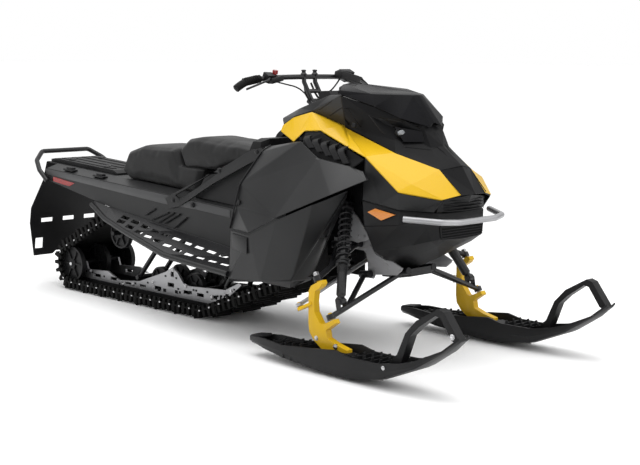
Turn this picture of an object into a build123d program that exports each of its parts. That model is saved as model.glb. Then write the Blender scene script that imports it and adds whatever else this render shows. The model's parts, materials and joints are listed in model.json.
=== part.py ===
# A mountain snowmobile: one rubber track under a riveted tunnel, two steered skis on double arms.
# +X runs forward to the ski tips, +Y to the machine's left, +Z up.  Millimetres throughout.
# The origin lies on the ground, midway along the machine and between its skis.
import math
import os

from build123d import *

os.makedirs("parts", exist_ok=True)

# ---------------------------------------------------------------- driving dimensions
seat_clearance = 0.5        # between soft or moulded pieces that lie on each other
fit_clearance = 0.3         # around turning pins

# tunnel: the folded sheet channel over the track
tunnel_half = 215.0
tunnel_wall = 3.0
tunnel_crown_half = 150.0   # half width of the flat top
tunnel_crown = 20.0         # rise of the flat top above the side fold
tunnel_rear_x = -1489.0
tunnel_front_x = 450.0
tunnel_rear_z = 626.0       # side fold at the rear end
tunnel_front_z = 513.0      # side fold at the front end

# cargo anchors: four round holes through the plate behind the seat
cargo_x = -1190.0
anchor_pitch_x, anchor_pitch_y = 300.0, 180.0
anchor_r = 9.0

# track and its suspension
track_width = 381.0
belt = 6.0
lug_height = 41.0
lug_foot = 16.0
lug_tip = 9.0
lug_count = 51
rear_axle_x, rear_axle_z = -1250.0, 136.0
upper_wheel_r = 78.0
upper_axle_x, upper_axle_z = -884.0, 329.0
drive_r = 86.0
drive_x, drive_z = 296.0, 330.0
belt_floor_z = lug_height + belt        # inner face of the flat bottom run
rear_wheel_r = rear_axle_z - belt_floor_z - 0.3
ramp_x = -201.0             # the bottom run rises from here to the drive wheel
rail_y = 100.0
rail_thick = 10.0
shoe_height = 14.0
wheel_width = 24.0
axle_r = 11.0

# front structure
module_half = 146.0         # half width of the bulkhead over its side plates
keel_half = 62.0            # half width of the casting under it

# steering and skis
caster = 27.8               # lean of the kingpins and of the steering column, degrees
kingpin_y = 448.0
kingpin_top = (833.0, 331.0)            # x, z of the upper ball on the kingpin line
kingpin_low_z = 212.0       # height of the lower ball
upper_ball_z = 352.0
stud_r = 8.0
pin_r = 6.0
steer_arm = 119.0           # kingpin line to tie rod pin
steer_pin_x, steer_pin_z = 750.0, 233.0
pin_spread = 24.0           # tie rod pins lie this far outboard of the lines they turn about
pitman_x, pitman_z = 847.4, 480.0       # pitman pivot at the level of its pins
pivot_r = 9.0               # the pitman's own pin, on the bulkhead
relay_y = 60.0              # sideways arm of the column and of the pitman
column_foot_z = 470.0
column_head = (345.0, 985.0)            # x, z of the column's top under the riser
column_r = 15.0
ski_y = 457.0
ski_half = 74.0
runner_r = 5.0
arm_r = 11.0

panel_wall = 6.0            # moulded panels
tube_r = 12.0

lean = math.radians(caster)
king_dir = (-math.sin(lean), 0, math.cos(lean))     # up along a kingpin
king_fore = (math.cos(lean), 0, math.sin(lean))     # square to it, forward


# ---------------------------------------------------------------- helpers
def save(piece, node):
    piece.part.label = node
    export_step(piece.part, f"parts/{node}.step")


def save_pair(right, node):
    save(right, f"{node}_right")
    with BuildPart() as left:
        add(right.part)
        mirror(about=Plane.XZ, mode=Mode.REPLACE)
    save(left, f"{node}_left")


def save_both(right, node):
    # the right-hand piece and its mirror image in one node
    with BuildPart() as pair:
        add(both_sides(right.part))
    save(pair, node)


def flat(plane, points):
    with BuildSketch(plane, mode=Mode.PRIVATE) as face:
        with BuildLine():
            Polyline(*points, close=True)
        make_face()
    return face.sketch


def rod(start, end, radius):
    line = Vector(*end) - Vector(*start)
    with BuildPart(mode=Mode.PRIVATE) as bar:
        with BuildSketch(Plane(origin=start, z_dir=line)):
            Circle(radius)
        extrude(amount=line.length)
    return bar.part


def tube(points, bend, radius):
    with BuildPart(mode=Mode.PRIVATE) as bar:
        with BuildLine() as route:
            FilletPolyline(*points, radius=bend)
        with BuildSketch(Plane(origin=route.line @ 0, z_dir=route.line % 0)):
            Circle(radius)
        sweep()
    return bar.part


def slab(points, y0, y1):
    # a side outline (x, z) as thick as from y0 to y1
    with BuildPart(mode=Mode.PRIVATE) as plate:
        extrude(flat(Plane.XZ.offset(-y0), points), amount=y0 - y1)
    return plate.part


def shell(corners, facets, inward):
    # flat three-cornered facets between lettered corners, each as deep as the inward vector
    depth = Vector(*inward)
    with BuildPart(mode=Mode.PRIVATE) as skin:
        for facet in facets.split():
            face = Face(Wire.make_polygon([corners[letter] for letter in facet]))
            extrude(face, amount=depth.length, dir=depth.normalized())
    return skin.part


def loft_of(sections):
    with BuildPart(mode=Mode.PRIVATE) as body:
        loft(sections=sections, ruled=True)
    return body.part


def both_sides(right):
    with BuildPart(mode=Mode.PRIVATE) as pair:
        add(right)
        mirror(about=Plane.XZ)
    return pair.part


# ---------------------------------------------------------------- tunnel
def fold_z(x):
    share = (x - tunnel_rear_x) / (tunnel_front_x - tunnel_rear_x)
    return tunnel_rear_z + share * (tunnel_front_z - tunnel_rear_z)


def channel_section(x, grow, low):
    # the tunnel's outline across the machine, grown outwards by `grow`, down to the height `low`
    side, top, fold = tunnel_half + grow, fold_z(x) + tunnel_crown + grow, fold_z(x) + grow * 0.7
    half = tunnel_crown_half + grow * 0.2
    right = [(-side, low), (-side, fold), (-half, top)]
    return flat(Plane.YZ.offset(x), right + [(-y, z) for y, z in reversed(right)])


def channel(grow, low, rear=tunnel_rear_x, front=tunnel_front_x):
    return loft_of([channel_section(x, grow, low) for x in (rear, front)])


hem = [(-1383, 559), (-849, 466), (-310, 402), (4, 363), (170, 330), (190, 240), (460, 240)]
with BuildPart() as tunnel:
    add(channel(0, 200))
    add(channel(-tunnel_wall, 190, tunnel_rear_x - 5, tunnel_front_x + 5), mode=Mode.SUBTRACT)
    add(slab([(-1600, 612), (-1388, 612)] + hem + [(460, 0), (-1600, 0)], 300, -300),
        mode=Mode.SUBTRACT)
    for way in (-1, 1):         # the top plate alone runs on behind the sides
        with Locations((hem[0][0] - 105, way * (tunnel_crown_half + 100), 600)):
            Box(200, 200, 200, mode=Mode.SUBTRACT)
    with Locations((cargo_x, 0, 600)):
        with GridLocations(anchor_pitch_x, anchor_pitch_y, 2, 2):
            Cylinder(anchor_r, 200, mode=Mode.SUBTRACT)
save(tunnel, "tunnel")


# ---------------------------------------------------------------- track
def tangent(first, second):
    # outer tangent above two circles (x, z, r); both are met on the side left of the run
    dx, dz = second[0] - first[0], second[1] - first[1]
    span = math.hypot(dx, dz)
    turn = math.atan2(dz, dx) + math.asin((first[2] - second[2]) / span)
    side = turn + math.pi / 2
    return [(c[0] + c[2] * math.cos(side), c[1] + c[2] * math.sin(side)) for c in (first, second)]


def track_loop(grow):
    # wheels the belt wraps, in the order the belt's upper side meets them from the rear
    rear = (rear_axle_x, rear_axle_z, rear_axle_z - belt_floor_z + grow)
    upper = (upper_axle_x, upper_axle_z, upper_wheel_r + fit_clearance + grow)
    drive = (drive_x, drive_z, drive_r + fit_clearance + grow)
    floor_z = belt_floor_z - grow
    top_rear = tangent(rear, upper)
    top_run = tangent(upper, drive)
    # the ramp leaves the flat floor at ramp_x and is tangent to the drive wheel's underside
    dx, dz = drive_x - ramp_x, drive_z - floor_z
    span = math.hypot(dx, dz)
    slope = math.atan2(dz, dx) - math.asin(drive[2] / span)
    under = (drive_x + drive[2] * math.sin(slope), drive_z - drive[2] * math.cos(slope))
    front = (drive_x + drive[2], drive_z)
    crest = (upper[0] - upper[2] * math.sin(math.radians(12)),
             upper[1] + upper[2] * math.cos(math.radians(12)))
    return [
        ("line", top_rear[0], top_rear[1]),
        ("arc", top_rear[1], crest, top_run[0]),
        ("line", top_run[0], top_run[1]),
        ("arc", top_run[1], front, under),
        ("line", under, (ramp_x, floor_z)),
        ("line", (ramp_x, floor_z), (rear_axle_x, floor_z)),
        ("arc", (rear_axle_x, floor_z), (rear_axle_x - rear[2], rear_axle_z), top_rear[0]),
    ]


def loop_wire(grow):
    with BuildLine(Plane.XZ, mode=Mode.PRIVATE) as line:
        for kind, *points in track_loop(grow):
            if kind == "line":
                Line(*points)
            else:
                ThreePointArc(*points)
    return line.wires()[0]


lug_outline = [(-lug_foot / 2, -belt / 2), (lug_foot / 2, -belt / 2),
               (lug_tip / 2, lug_height), (-lug_tip / 2, lug_height)]
# rows of lugs alternate: each row is a list of (from y, to y) across the belt
lug_rows = ((-185, -110), (-70, 70), (110, 185)), ((-145, -40), (40, 145))
outer_wire = loop_wire(belt)


def lug_faces(row, y):
    faces = []
    for k in range(row, lug_count, 2):
        at = outer_wire.position_at(k / lug_count)
        along = outer_wire.tangent_at(k / lug_count)
        place = Plane(origin=at + Vector(0, y, 0), x_dir=along, z_dir=(0, -1, 0))
        faces.append(flat(place, lug_outline).face())
    return faces


with BuildPart() as track:
    extrude(Face(outer_wire), amount=track_width / 2, both=True)
    extrude(Face(loop_wire(0)), amount=track_width, both=True, mode=Mode.SUBTRACT)
    for row, bands in enumerate(lug_rows):
        for y0, y1 in bands:
            extrude(lug_faces(row, y1), amount=y1 - y0)
save(track, "track")


# ---------------------------------------------------------------- slide rails and wheels
rail_outline = [(-1310, 147), (-1216, 146), (-1200, 106), (-1030, 117), (-934, 82), (-769, 98),
                (-560, 170), (-509, 199), (-470, 178), (-427, 132), (-382, 124), (-124, 139), (-27, 184),
                (-10, 176), (-100, 110), (-201, 70), (-210, 61), (-1270, 61), (-1300, 80)]
rail_foot_z = belt_floor_z + shoe_height
rail_holes = (                          # x, z, half length, half height
    (rear_axle_x, rear_axle_z, 32, axle_r), (-1120, 84, 30, 8), (-980, 84, 26, 8), (-860, 76, 24, 6),
    (-740, 78, 24, 7),
    (-620, 84, 26, 9), (-509, 165, 12, 12), (-520, 112, 24, 10), (-400, 92, 24, 8), (-300, 92, 24, 8),
    (-210, 96, 18, 8), (-110, 116, 12, 7))
with BuildPart() as slide_rails:
    for y in (rail_y, -rail_y):
        add(slab(rail_outline, y - rail_thick / 2, y + rail_thick / 2))
    for x, z, half_length, half_height in rail_holes:
        with BuildSketch(Plane.XZ):
            with Locations((x, z)):
                Rectangle(2 * half_length, 2 * half_height)
        extrude(amount=2 * rail_y, both=True, mode=Mode.SUBTRACT)
save(slide_rails, "slide_rails")

with BuildPart() as slide_shoes:
    for y in (rail_y, -rail_y):
        add(slab([(rear_axle_x, belt_floor_z), (ramp_x, belt_floor_z), (ramp_x, rail_foot_z),
                  (rear_axle_x, rail_foot_z)], y - rail_thick / 2 - 4, y + rail_thick / 2 + 4))
save(slide_shoes, "slide_shoes")


def wheels(places, bore):
    # rimmed wheels with a dished web: places are (x, z, radius, y)
    with BuildPart(mode=Mode.PRIVATE) as row:
        for x, z, radius, y in places:
            with BuildSketch(Plane.XZ.offset(-y)):
                with Locations((x, z)):
                    Circle(radius)
                    Circle(bore, mode=Mode.SUBTRACT)
            extrude(amount=wheel_width / 2, both=True)
            for face_y, way in ((y - wheel_width / 2, -1), (y + wheel_width / 2, 1)):
                with BuildSketch(Plane.XZ.offset(-face_y)):
                    with Locations((x, z)):
                        Circle(radius - 10)
                        Circle(bore + 12, mode=Mode.SUBTRACT)
                extrude(amount=way * 7, mode=Mode.SUBTRACT)
    return row.part


rear_wheel_ys = (-155, 0, 155)
with BuildPart() as rear_wheels:
    add(wheels([(rear_axle_x, rear_axle_z, rear_wheel_r, y) for y in rear_wheel_ys], axle_r))
    add(rod((rear_axle_x, -172, rear_axle_z), (rear_axle_x, 172, rear_axle_z), axle_r))
save(rear_wheels, "rear_wheels")

rail_wheel_r = 67.0
rail_wheel_z = belt_floor_z + rail_wheel_r
rail_wheel_xs = (-646, -387)
with BuildPart() as rail_wheels:
    add(wheels([(x, rail_wheel_z, rail_wheel_r, y) for x in rail_wheel_xs for y in (-60, 60)], axle_r))
    for x in rail_wheel_xs:
        add(rod((x, -rail_y + rail_thick / 2, rail_wheel_z), (x, rail_y - rail_thick / 2, rail_wheel_z),
                axle_r))
save(rail_wheels, "rail_wheels")

with BuildPart() as upper_wheels:
    add(wheels([(upper_axle_x, upper_axle_z, upper_wheel_r, y) for y in (-120, 120)], axle_r))
    add(rod((upper_axle_x, -176, upper_axle_z), (upper_axle_x, 176, upper_axle_z), axle_r))
save(upper_wheels, "upper_wheels")

with BuildPart() as drive_axle:
    add(rod((drive_x, tunnel_wall - tunnel_half, drive_z), (drive_x, tunnel_half - tunnel_wall, drive_z),
            16))
    for y in (-110, 0, 110):
        add(rod((drive_x, y - 12, drive_z), (drive_x, y + 12, drive_z), drive_r))
save(drive_axle, "drive_axle")


# ---------------------------------------------------------------- suspension arms and shocks of the track
inner_y = tunnel_half - tunnel_wall     # inside face of the tunnel's sides
rear_pivot = (-560.0, 380.0)            # x, z of the rear arm's pivot on the tunnel
front_pivot = (-20.0, 330.0)
arm_y = 72.0
with BuildPart() as front_arm:
    add(rod((front_pivot[0], -inner_y, front_pivot[1]), (front_pivot[0], inner_y, front_pivot[1]), 14))
    for y in (arm_y, -arm_y):
        add(rod((front_pivot[0], y, front_pivot[1]), (-150, y, 150), 12))
    add(rod((-150, -rail_y + rail_thick / 2, 128), (-150, rail_y - rail_thick / 2, 128), 12))
    for y in (arm_y, -arm_y):
        add(rod((-150, y, 150), (-150, y, 128), 12))
save(front_arm, "skid_front_arm")

with BuildPart() as rear_arm:
    add(rod((rear_pivot[0], -inner_y, rear_pivot[1]), (rear_pivot[0], inner_y, rear_pivot[1]), 14))
    for y in (arm_y, -arm_y):
        add(rod((rear_pivot[0], y, rear_pivot[1]), (-800, y, 120), 12))
    add(rod((-800, -rail_y + rail_thick / 2, 78 + 34), (-800, rail_y - rail_thick / 2, 78 + 34), 12))
save(rear_arm, "skid_rear_arm")


def shock(lower, upper, body_r, spring_r, wire_r, turns):
    # damper with its coil drawn as stacked rings, from the lower to the upper eye
    line = Vector(*upper) - Vector(*lower)
    along = line.normalized()
    place = Plane(origin=lower, z_dir=line)
    with BuildPart(mode=Mode.PRIVATE) as unit:
        add(rod(lower, upper, body_r * 0.45))
        middle = Vector(*lower) + along * (line.length * 0.42)
        add(rod(tuple(middle), upper, body_r))
        for k in range(turns):
            level = line.length * (0.14 + 0.66 * k / (turns - 1))
            with BuildSketch(place.offset(level)):
                Circle(spring_r)
                Circle(body_r * 0.4, mode=Mode.SUBTRACT)
            extrude(amount=wire_r)
    return unit.part


with BuildPart() as skid_shock:
    add(shock((-270, 0, 122), (-90, 0, 300), 20, 30, 10, 5))
    add(rod((-270, -rail_y + rail_thick / 2, 122), (-270, rail_y - rail_thick / 2, 122), 9))
    add(rod((-90, -40, 300), (-90, 40, 300), 9))
save(skid_shock, "skid_shock")


# ---------------------------------------------------------------- skis
ski_stations = (        # x, half width, keel, top edge
    (474, 30, 50, 80), (576, 52, 38, 93), (700, 66, 24, 103), (880, 74, 12, 113), (1000, 74, 8, 118),
    (1073, 74, 8, 118), (1210, 73, 30, 112), (1309, 70, 70, 119), (1380, 66, 99, 137), (1493, 48, 171, 190),
    (1556, 30, 224, 240))
rim, keel_w = 9, 18
ski_floor = 14.0             # from the sole up to the deck
rib_top, rib_step, rib_thick = 80, 42, 6


def ski_section(x, half, keel, top):
    # a channel open at the top: flat sole, short bilge, upright walls and a deck inside them
    tall = top - keel
    deck = keel + min(ski_floor, tall * 0.6)
    right = [(-keel_w, keel), (-half + rim, keel + min(5, tall * 0.2)), (-half, keel + tall * 0.4),
             (-half, top),
             (-half + rim, top), (-half + rim + 3, deck)]
    ring = right + [(-y, z) for y, z in reversed(right)]
    return Face(Wire.make_polygon([(x, y - ski_y, z) for y, z in ring], close=True))


def ski_keel(x):
    # height of the sole at x
    for (x0, _, z0, _), (x1, _, z1, _) in zip(ski_stations, ski_stations[1:]):
        if x <= x1:
            return z0 + (x - x0) / (x1 - x0) * (z1 - z0)


# the carrying loop over each ski tip: outer edge, then inner edge
loop_outer = [(1200, 76), (1262, 132), (1300, 216), (1352, 270), (1452, 326), (1478, 318), (1549, 226)]
loop_inner = [(1536, 214), (1516, 222), (1462, 296), (1440, 300), (1362, 246), (1322, 208), (1290, 124),
              (1262, 66), (1220, 50)]
saddle = [(640, 44), (700, 60), (862, 82), (996, 88), (1010, 92), (1170, 62), (1180, 40), (1000, 16),
          (880, 20)]
runner_line = [(700, 14), (880, 2), (968, 0), (1073, 0), (1175, 14)]
with BuildPart() as ski:
    add(loft_of([ski_section(*station) for station in ski_stations]))
    add(slab(saddle, -ski_y - 22, -ski_y + 22))
    for x in range(620, 1180, rib_step):        # ribs across the deck
        foot = ski_keel(x) + ski_floor / 2
        with Locations((x, -ski_y, (foot + rib_top) / 2)):
            Box(rib_thick, 2 * (ski_half - rim) - 2 if x > 700 else 80, rib_top - foot)
    add(slab(loop_outer + loop_inner, -ski_y - 20, -ski_y + 20))
    # groove for the steel runner
    groove = [(x, z - 1) for x, z in runner_line]
    groove += [(x, z + 2 * runner_r) for x, z in reversed(runner_line)]
    add(slab(groove, -ski_y - runner_r, -ski_y + runner_r), mode=Mode.SUBTRACT)
save_pair(ski, "ski")

with BuildPart() as runner:
    bar = runner_line + [(x, z + 2 * runner_r) for x, z in reversed(runner_line)]
    add(slab(bar, -ski_y - runner_r, -ski_y + runner_r))
save_pair(runner, "ski_runner")


# ---------------------------------------------------------------- spindles
def on_kingpin(z):
    return kingpin_top[0] - (z - kingpin_top[1]) * math.tan(lean)


spindle_outline = [(800, 323), (854, 351), (861, 338), (850, 322), (822, 304), (816, 262), (820, 222),
                   (850, 182), (866, 179), (922, 208), (932, 193), (884, 160), (890, 130), (936, 114),
                   (996, 100), (996, 88), (862, 82), (816, 112), (792, 142), (787, 176), (787, 300)]
steer_pin = (steer_pin_x, -kingpin_y - pin_spread, steer_pin_z)


def along_king(point, reach):
    return tuple(Vector(*point) + Vector(*king_dir) * reach)


def ball(z):
    # centre of a ball joint on the right-hand kingpin line
    return on_kingpin(z), -kingpin_y, z


with BuildPart() as spindle:
    add(slab(spindle_outline, -kingpin_y - 15, -kingpin_y + 15))
    for z in (kingpin_low_z, upper_ball_z):      # studs of the two ball joints
        add(rod(along_king(ball(z), -34), along_king(ball(z), 16), stud_r))
    # steering arm, reaching back and outwards to the tie rod's pin
    with BuildSketch(Plane(origin=along_king(steer_pin, -12), z_dir=king_dir, x_dir=(0, 1, 0))):
        Circle(13)
        Polygon((-13, 0), (13, 0), (40, -60), (4, -60), align=None)
    extrude(amount=12)
    add(rod(along_king(steer_pin, -12), along_king(steer_pin, 20), pin_r))
save_pair(spindle, "spindle")


# ---------------------------------------------------------------- front arms
shock_top, shock_foot = (748.0, -215.0, 620.0), (892.0, -392.0, 268.0)
ball_housing_r = 17.0


def ball_housing(z):
    return rod(along_king(ball(z), -10), along_king(ball(z), 10), ball_housing_r)


def stud_bore(z):
    return rod(along_king(ball(z), -60), along_king(ball(z), 60), stud_r + fit_clearance)


with BuildPart() as lower_arm:
    add(ball_housing(kingpin_low_z))
    add(rod(ball(kingpin_low_z), (930, -keel_half - 15, 350), arm_r))
    add(rod((901, -360, 245), (800, -module_half - 15, 335), arm_r))
    add(rod((896, -keel_half - 15, 345), (962, -keel_half - 15, 357), 15))
    add(rod((780, -module_half - 15, 332), (832, -module_half - 15, 338), 15))
    for y in (shock_foot[1] - 20, shock_foot[1] + 15):
        add(slab([(880, 274), (904, 274), (912, 232), (890, 232)], y, y + 5))
    add(rod((shock_foot[0], shock_foot[1] - 18, shock_foot[2]),
            (shock_foot[0], shock_foot[1] + 18, shock_foot[2]), 8))
    add(stud_bore(kingpin_low_z), mode=Mode.SUBTRACT)
save_both(lower_arm, "lower_arms")
with BuildPart() as upper_arm:
    add(ball_housing(upper_ball_z))
    add(rod(ball(upper_ball_z), (756, -module_half - 15, 453), arm_r))
    add(rod((800, -352, 386), (646, -module_half - 15, 440), arm_r))
    add(stud_bore(upper_ball_z), mode=Mode.SUBTRACT)
    add(rod((730, -module_half - 15, 449), (776, -module_half - 15, 456), 15))
    add(rod((620, -module_half - 15, 437), (672, -module_half - 15, 443), 15))
save_both(upper_arm, "upper_arms")
with BuildPart() as front_shock:
    line = (Vector(*shock_top) - Vector(*shock_foot)).normalized()
    add(shock(tuple(Vector(*shock_foot) + line * 14), tuple(Vector(*shock_top) - line * 14), 19, 27, 12, 6))
    for (x, y, z), bore in ((shock_top, 10), (shock_foot, 8)):
        add(rod((x, y - 14, z), (x, y + 14, z), 18))
        add(rod((x, y - 60, z), (x, y + 60, z), bore), mode=Mode.SUBTRACT)
save_both(front_shock, "front_shocks")


# ---------------------------------------------------------------- steering linkage
def pitman_pin(y):
    fore = Vector(*king_fore)
    return tuple(Vector(pitman_x, y, pitman_z) - fore * steer_arm)


eye_over, eye_under = 10.0, -22.0       # rod eyes over or under the plates that hold their pins
tie_outer, tie_inner = along_king(steer_pin, eye_over), along_king(pitman_pin(-pin_spread), eye_under)


def rod_end(point, y_shift=0):
    # the eye round a pin parallel with the kingpin
    with BuildPart(mode=Mode.PRIVATE) as eye:
        with BuildSketch(Plane(origin=along_king(point, -6), z_dir=king_dir)):
            Circle(13)
            Circle(pin_r + fit_clearance, mode=Mode.SUBTRACT)
        extrude(amount=12)
    return eye.part


def link(first, second, radius):
    # a rod with an eye at each end; the bar stops at the eyes' rims
    along = (Vector(*second) - Vector(*first)).normalized()
    with BuildPart(mode=Mode.PRIVATE) as bar:
        add(rod(tuple(Vector(*first) + along * 10), tuple(Vector(*second) - along * 10), radius))
        add(rod_end(first))
        add(rod_end(second))
    return bar.part


with BuildPart() as tie_rod:
    add(link(tie_outer, tie_inner, 8))
save_pair(tie_rod, "tie_rod")

pitman_side = (pitman_x, relay_y, pitman_z)
column_axis_x = column_head[0] + (column_head[1] - column_foot_z) * math.tan(lean)
column_foot = (column_axis_x, 0, column_foot_z)
column_side = (column_axis_x, relay_y, column_foot_z)
with BuildPart() as drag_link:
    add(link(along_king(column_side, eye_under), along_king(pitman_side, eye_over), 8))
save(drag_link, "drag_link")

with BuildPart() as pitman:
    with BuildSketch(Plane(origin=along_king((pitman_x, 0, pitman_z), -12), z_dir=king_dir,
                           x_dir=(0, 1, 0))):
        Circle(20)
        with Locations((relay_y / 2, 0)):
            Rectangle(relay_y, 22)
        with Locations((relay_y, 0)):
            Circle(12)
    extrude(amount=12)
    for y in (-pin_spread, pin_spread):
        add(rod(along_king(pitman_pin(y), -32), along_king(pitman_pin(y), 0), pin_r))
    base = along_king(pitman_pin(0), -12)
    with BuildSketch(Plane(origin=base, z_dir=king_dir, x_dir=(0, 1, 0))):
        Rectangle(72, 24)
        with Locations((0, -steer_arm / 2)):
            Rectangle(28, steer_arm)
    extrude(amount=12)
    add(rod(along_king(pitman_side, -12), along_king(pitman_side, 20), pin_r))
    pivot = (pitman_x, 0, pitman_z)
    add(rod(along_king(pivot, -30), along_king(pivot, 20), pivot_r + fit_clearance), mode=Mode.SUBTRACT)
save(pitman, "pitman_arm")

with BuildPart() as column:
    add(rod(along_king(column_foot, -20), along_king((column_head[0], 0, column_head[1]), 15), column_r))
    with BuildSketch(Plane(origin=along_king(column_foot, -12), z_dir=king_dir, x_dir=(0, 1, 0))):
        Circle(22)
        with Locations((relay_y / 2, 0)):
            Rectangle(relay_y, 22)
        with Locations((relay_y, 0)):
            Circle(12)
    extrude(amount=12)
    add(rod(along_king(column_side, -32), along_king(column_side, 0), pin_r))
    with Locations((column_head[0], 0, column_head[1] + 20)):
        Box(80, 80, 40, mode=Mode.SUBTRACT)
save(column, "steering_column")

grip_path = [(281, -384, 1068), (298, -238, 1108), (309, -120, 1112), (309, 120, 1112), (298, 238, 1108),
             (281, 384, 1068)]
with BuildPart() as handlebar:
    add(tube(grip_path, 60, 11))
    # riser from the column's head up to the bar
    add(slab([(column_head[0] - 22, column_head[1]), (column_head[0] + 22, column_head[1]), (328, 1112),
              (290, 1112)],
             -36, 36))
    with Locations((325, 0, 1046)):
        Box(140, 34, 66, mode=Mode.SUBTRACT)
save(handlebar, "handlebar")

with BuildPart() as grips:
    for way in (-1, 1):
        start = Vector(281, way * 384, 1068)
        along = (Vector(298, way * 238, 1108) - start).normalized()
        with BuildSketch(Plane(origin=start - along * 4, z_dir=along)):
            Circle(18)
            Circle(11, mode=Mode.SUBTRACT)
        extrude(amount=124)
save(grips, "grips")

control_y = 228.0           # housings beside the grips, for the throttle and for the brake
with BuildPart() as hand_controls:
    for way in (-1, 1):
        with Locations(Location((303, way * control_y, 1110), (0, 24, way * 5))):
            Box(38, 40, 34)
    with Locations(Location((318, control_y - 8, 1128), (0, 24, 0))):
        Box(34, 66, 20)
    add(handlebar.part, mode=Mode.SUBTRACT)
save(hand_controls, "hand_controls")

with BuildPart() as levers:
    for way in (-1, 1):
        add(tube([(322, way * 240, 1109), (344, way * 268, 1100), (318, way * 366, 1064)], 16, 4.5))
    add(hand_controls.part, mode=Mode.SUBTRACT)
save(levers, "control_levers")

with BuildPart() as kill_button:
    with Locations(Location((301, -190, 1133), (0, 12, 0))):
        Cylinder(12, 16)
        with Locations((0, 0, -12)):
            Cylinder(7, 10)
    add(handlebar.part, mode=Mode.SUBTRACT)
save(kill_button, "kill_button")


# ---------------------------------------------------------------- bulkhead, frame and engine
module_plate = [(612, 432), (700, 428), (780, 426), (800, 408), (804, 318), (835, 318), (880, 400),
                (896, 480),
                (860, 600), (712, 600), (612, 466)]
with BuildPart() as front_module:
    for y in (-module_half, module_half - 5):
        add(slab(module_plate, y, y + 5))
    add(slab([(804, 314), (900, 320), (960, 332), (960, 364), (896, 336), (896, 384), (888, 420),
              (804, 420)],
             -keel_half, keel_half))
    add(slab([(800, 420), (888, 420), (888, 426), (800, 426)], -module_half, module_half))
    pivot = (pitman_x, 0, pitman_z)
    add(rod(along_king(pivot, -61), along_king(pivot, 16), pivot_r))
save(front_module, "front_module")

with BuildPart() as engine:
    with Locations((862, 0, 612)):
        Box(176, 220, 170)
save(engine, "engine_block")

with BuildPart() as upper_frame:
    for way in (-1, 1):
        add(rod((254, way * 202, 806), (438, way * 34, 838), tube_r))
        add(rod((438, way * 34, 838), (788, way * module_half, 616), tube_r))
        add(rod((788, way * (module_half - 2.5), 616), (788, way * (module_half - 2.5), 600), 9))
    add(rod((shock_top[0], shock_top[1] - 18, shock_top[2]),
            (shock_top[0], 18 - shock_top[1], shock_top[2]), 10))
    head = (column_head[0] + (column_head[1] - 838) * math.tan(lean), 0, 838)
    add(rod(along_king(head, -30), along_king(head, 30), 34))
    add(rod(along_king(head, -40), along_king(head, 40), column_r + fit_clearance), mode=Mode.SUBTRACT)
save(upper_frame, "upper_frame")

with BuildPart() as strut:
    add(slab([(-404, 548), (-372, 500), (-296, 520), (-60, 640), (262, 780), (262, 815), (192, 802),
              (-4, 712)],
             -tunnel_half - 12, -tunnel_half))
    add(slab([(-330, 566), (-60, 690), (-20, 690), (-300, 548)], -300, -100), mode=Mode.SUBTRACT)
save_both(strut, "frame_struts")


# ---------------------------------------------------------------- running boards
def board_edge(x):
    # outer edge of the board: (y, z) under the edge tube
    for (x0, y0, z0), (x1, y1, z1) in zip(board_rim, board_rim[1:]):
        if x <= x1:
            share = (x - x0) / (x1 - x0)
            return y0 + share * (y1 - y0), z0 + share * (z1 - z0)
    return board_rim[-1][1:]


board_rim = [(-976, -232, 478), (-828, -262, 423), (-614, -302, 384), (-212, -380, 324), (236, -400, 300)]
board_corners = {"a": (-976, -216, 486), "b": (-849, -216, 466), "c": (-310, -216, 402),
                 "d": (236, -216, 341), "e": board_rim[0], "f": board_rim[1], "g": board_rim[2],
                 "h": board_rim[3], "i": board_rim[4]}
with BuildPart() as board:
    add(shell(board_corners, "aef abf bfg bgc cgh chd dhi", (0, 0, -4)))
    for k in range(11):
        x = -690 + 84 * k
        rim_y, _ = board_edge(x)
        for share, length in ((0.34, 56), (0.70, 56)):
            with BuildSketch(Plane.XY):
                with Locations((x, -tunnel_half + share * (rim_y + tunnel_half))):
                    Rectangle(length, 20)
            extrude(amount=600, mode=Mode.SUBTRACT)
    with BuildLine() as edge:
        Polyline(*[(x, y, z - 8) for x, y, z in board_rim])
    with BuildSketch(Plane(origin=edge.line @ 0, z_dir=edge.line % 0)):
        RegularPolygon(tube_r, 8)
    sweep(transition=Transition.RIGHT)
    add(slab([(-849, 466), (236, 341), (236, 330), (-849, 455)], -tunnel_half - 4, -tunnel_half))
save_both(board, "running_boards")


# ---------------------------------------------------------------- rear end
hoop = [(-1366, -230, 556), (-1440, -228, 608), (-1500, -204, 652), (-1541, -144, 694)]
hoop += [(x, -y, z) for x, y, z in reversed(hoop)]
with BuildPart() as rear_bumper:
    add(tube(hoop, 36, tube_r))
    for y in (-tunnel_half - 4, tunnel_half):
        add(slab([(-1386, 582), (-1386, 562), (-1340, 554), (-1340, 574)], y, y + 4))
save(rear_bumper, "rear_bumper")

flap_top_x, flap_foot_x, flap_top_z, flap_foot_z = -1489.0, -1547.0, 634.0, 146.0
flap_plane = Plane(origin=(flap_top_x, 0, flap_top_z), x_dir=(0, 1, 0),
                   z_dir=Vector(flap_top_z - flap_foot_z, 0, flap_foot_x - flap_top_x))
with BuildPart() as flap:
    with BuildSketch(flap_plane):
        with BuildLine():
            half = [(150, 8), (168, -90), (233, -232), (236, -314), (204, -490), (90, -490), (70, -474)]
            Polyline(*half, *[(-x, y) for x, y in reversed(half)], close=True)
        make_face()
    extrude(amount=-4)
    for y, z, across, up in ((-134, -302, 70, 22), (0, -302, 70, 22), (134, -302, 70, 22),
                             (-176, -424, 46, 56),
                             (176, -424, 46, 56)):
        with BuildSketch(flap_plane):
            with Locations((y, z)):
                Rectangle(across, up)
        extrude(amount=-10, mode=Mode.SUBTRACT)
save(flap, "snow_flap")

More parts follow.
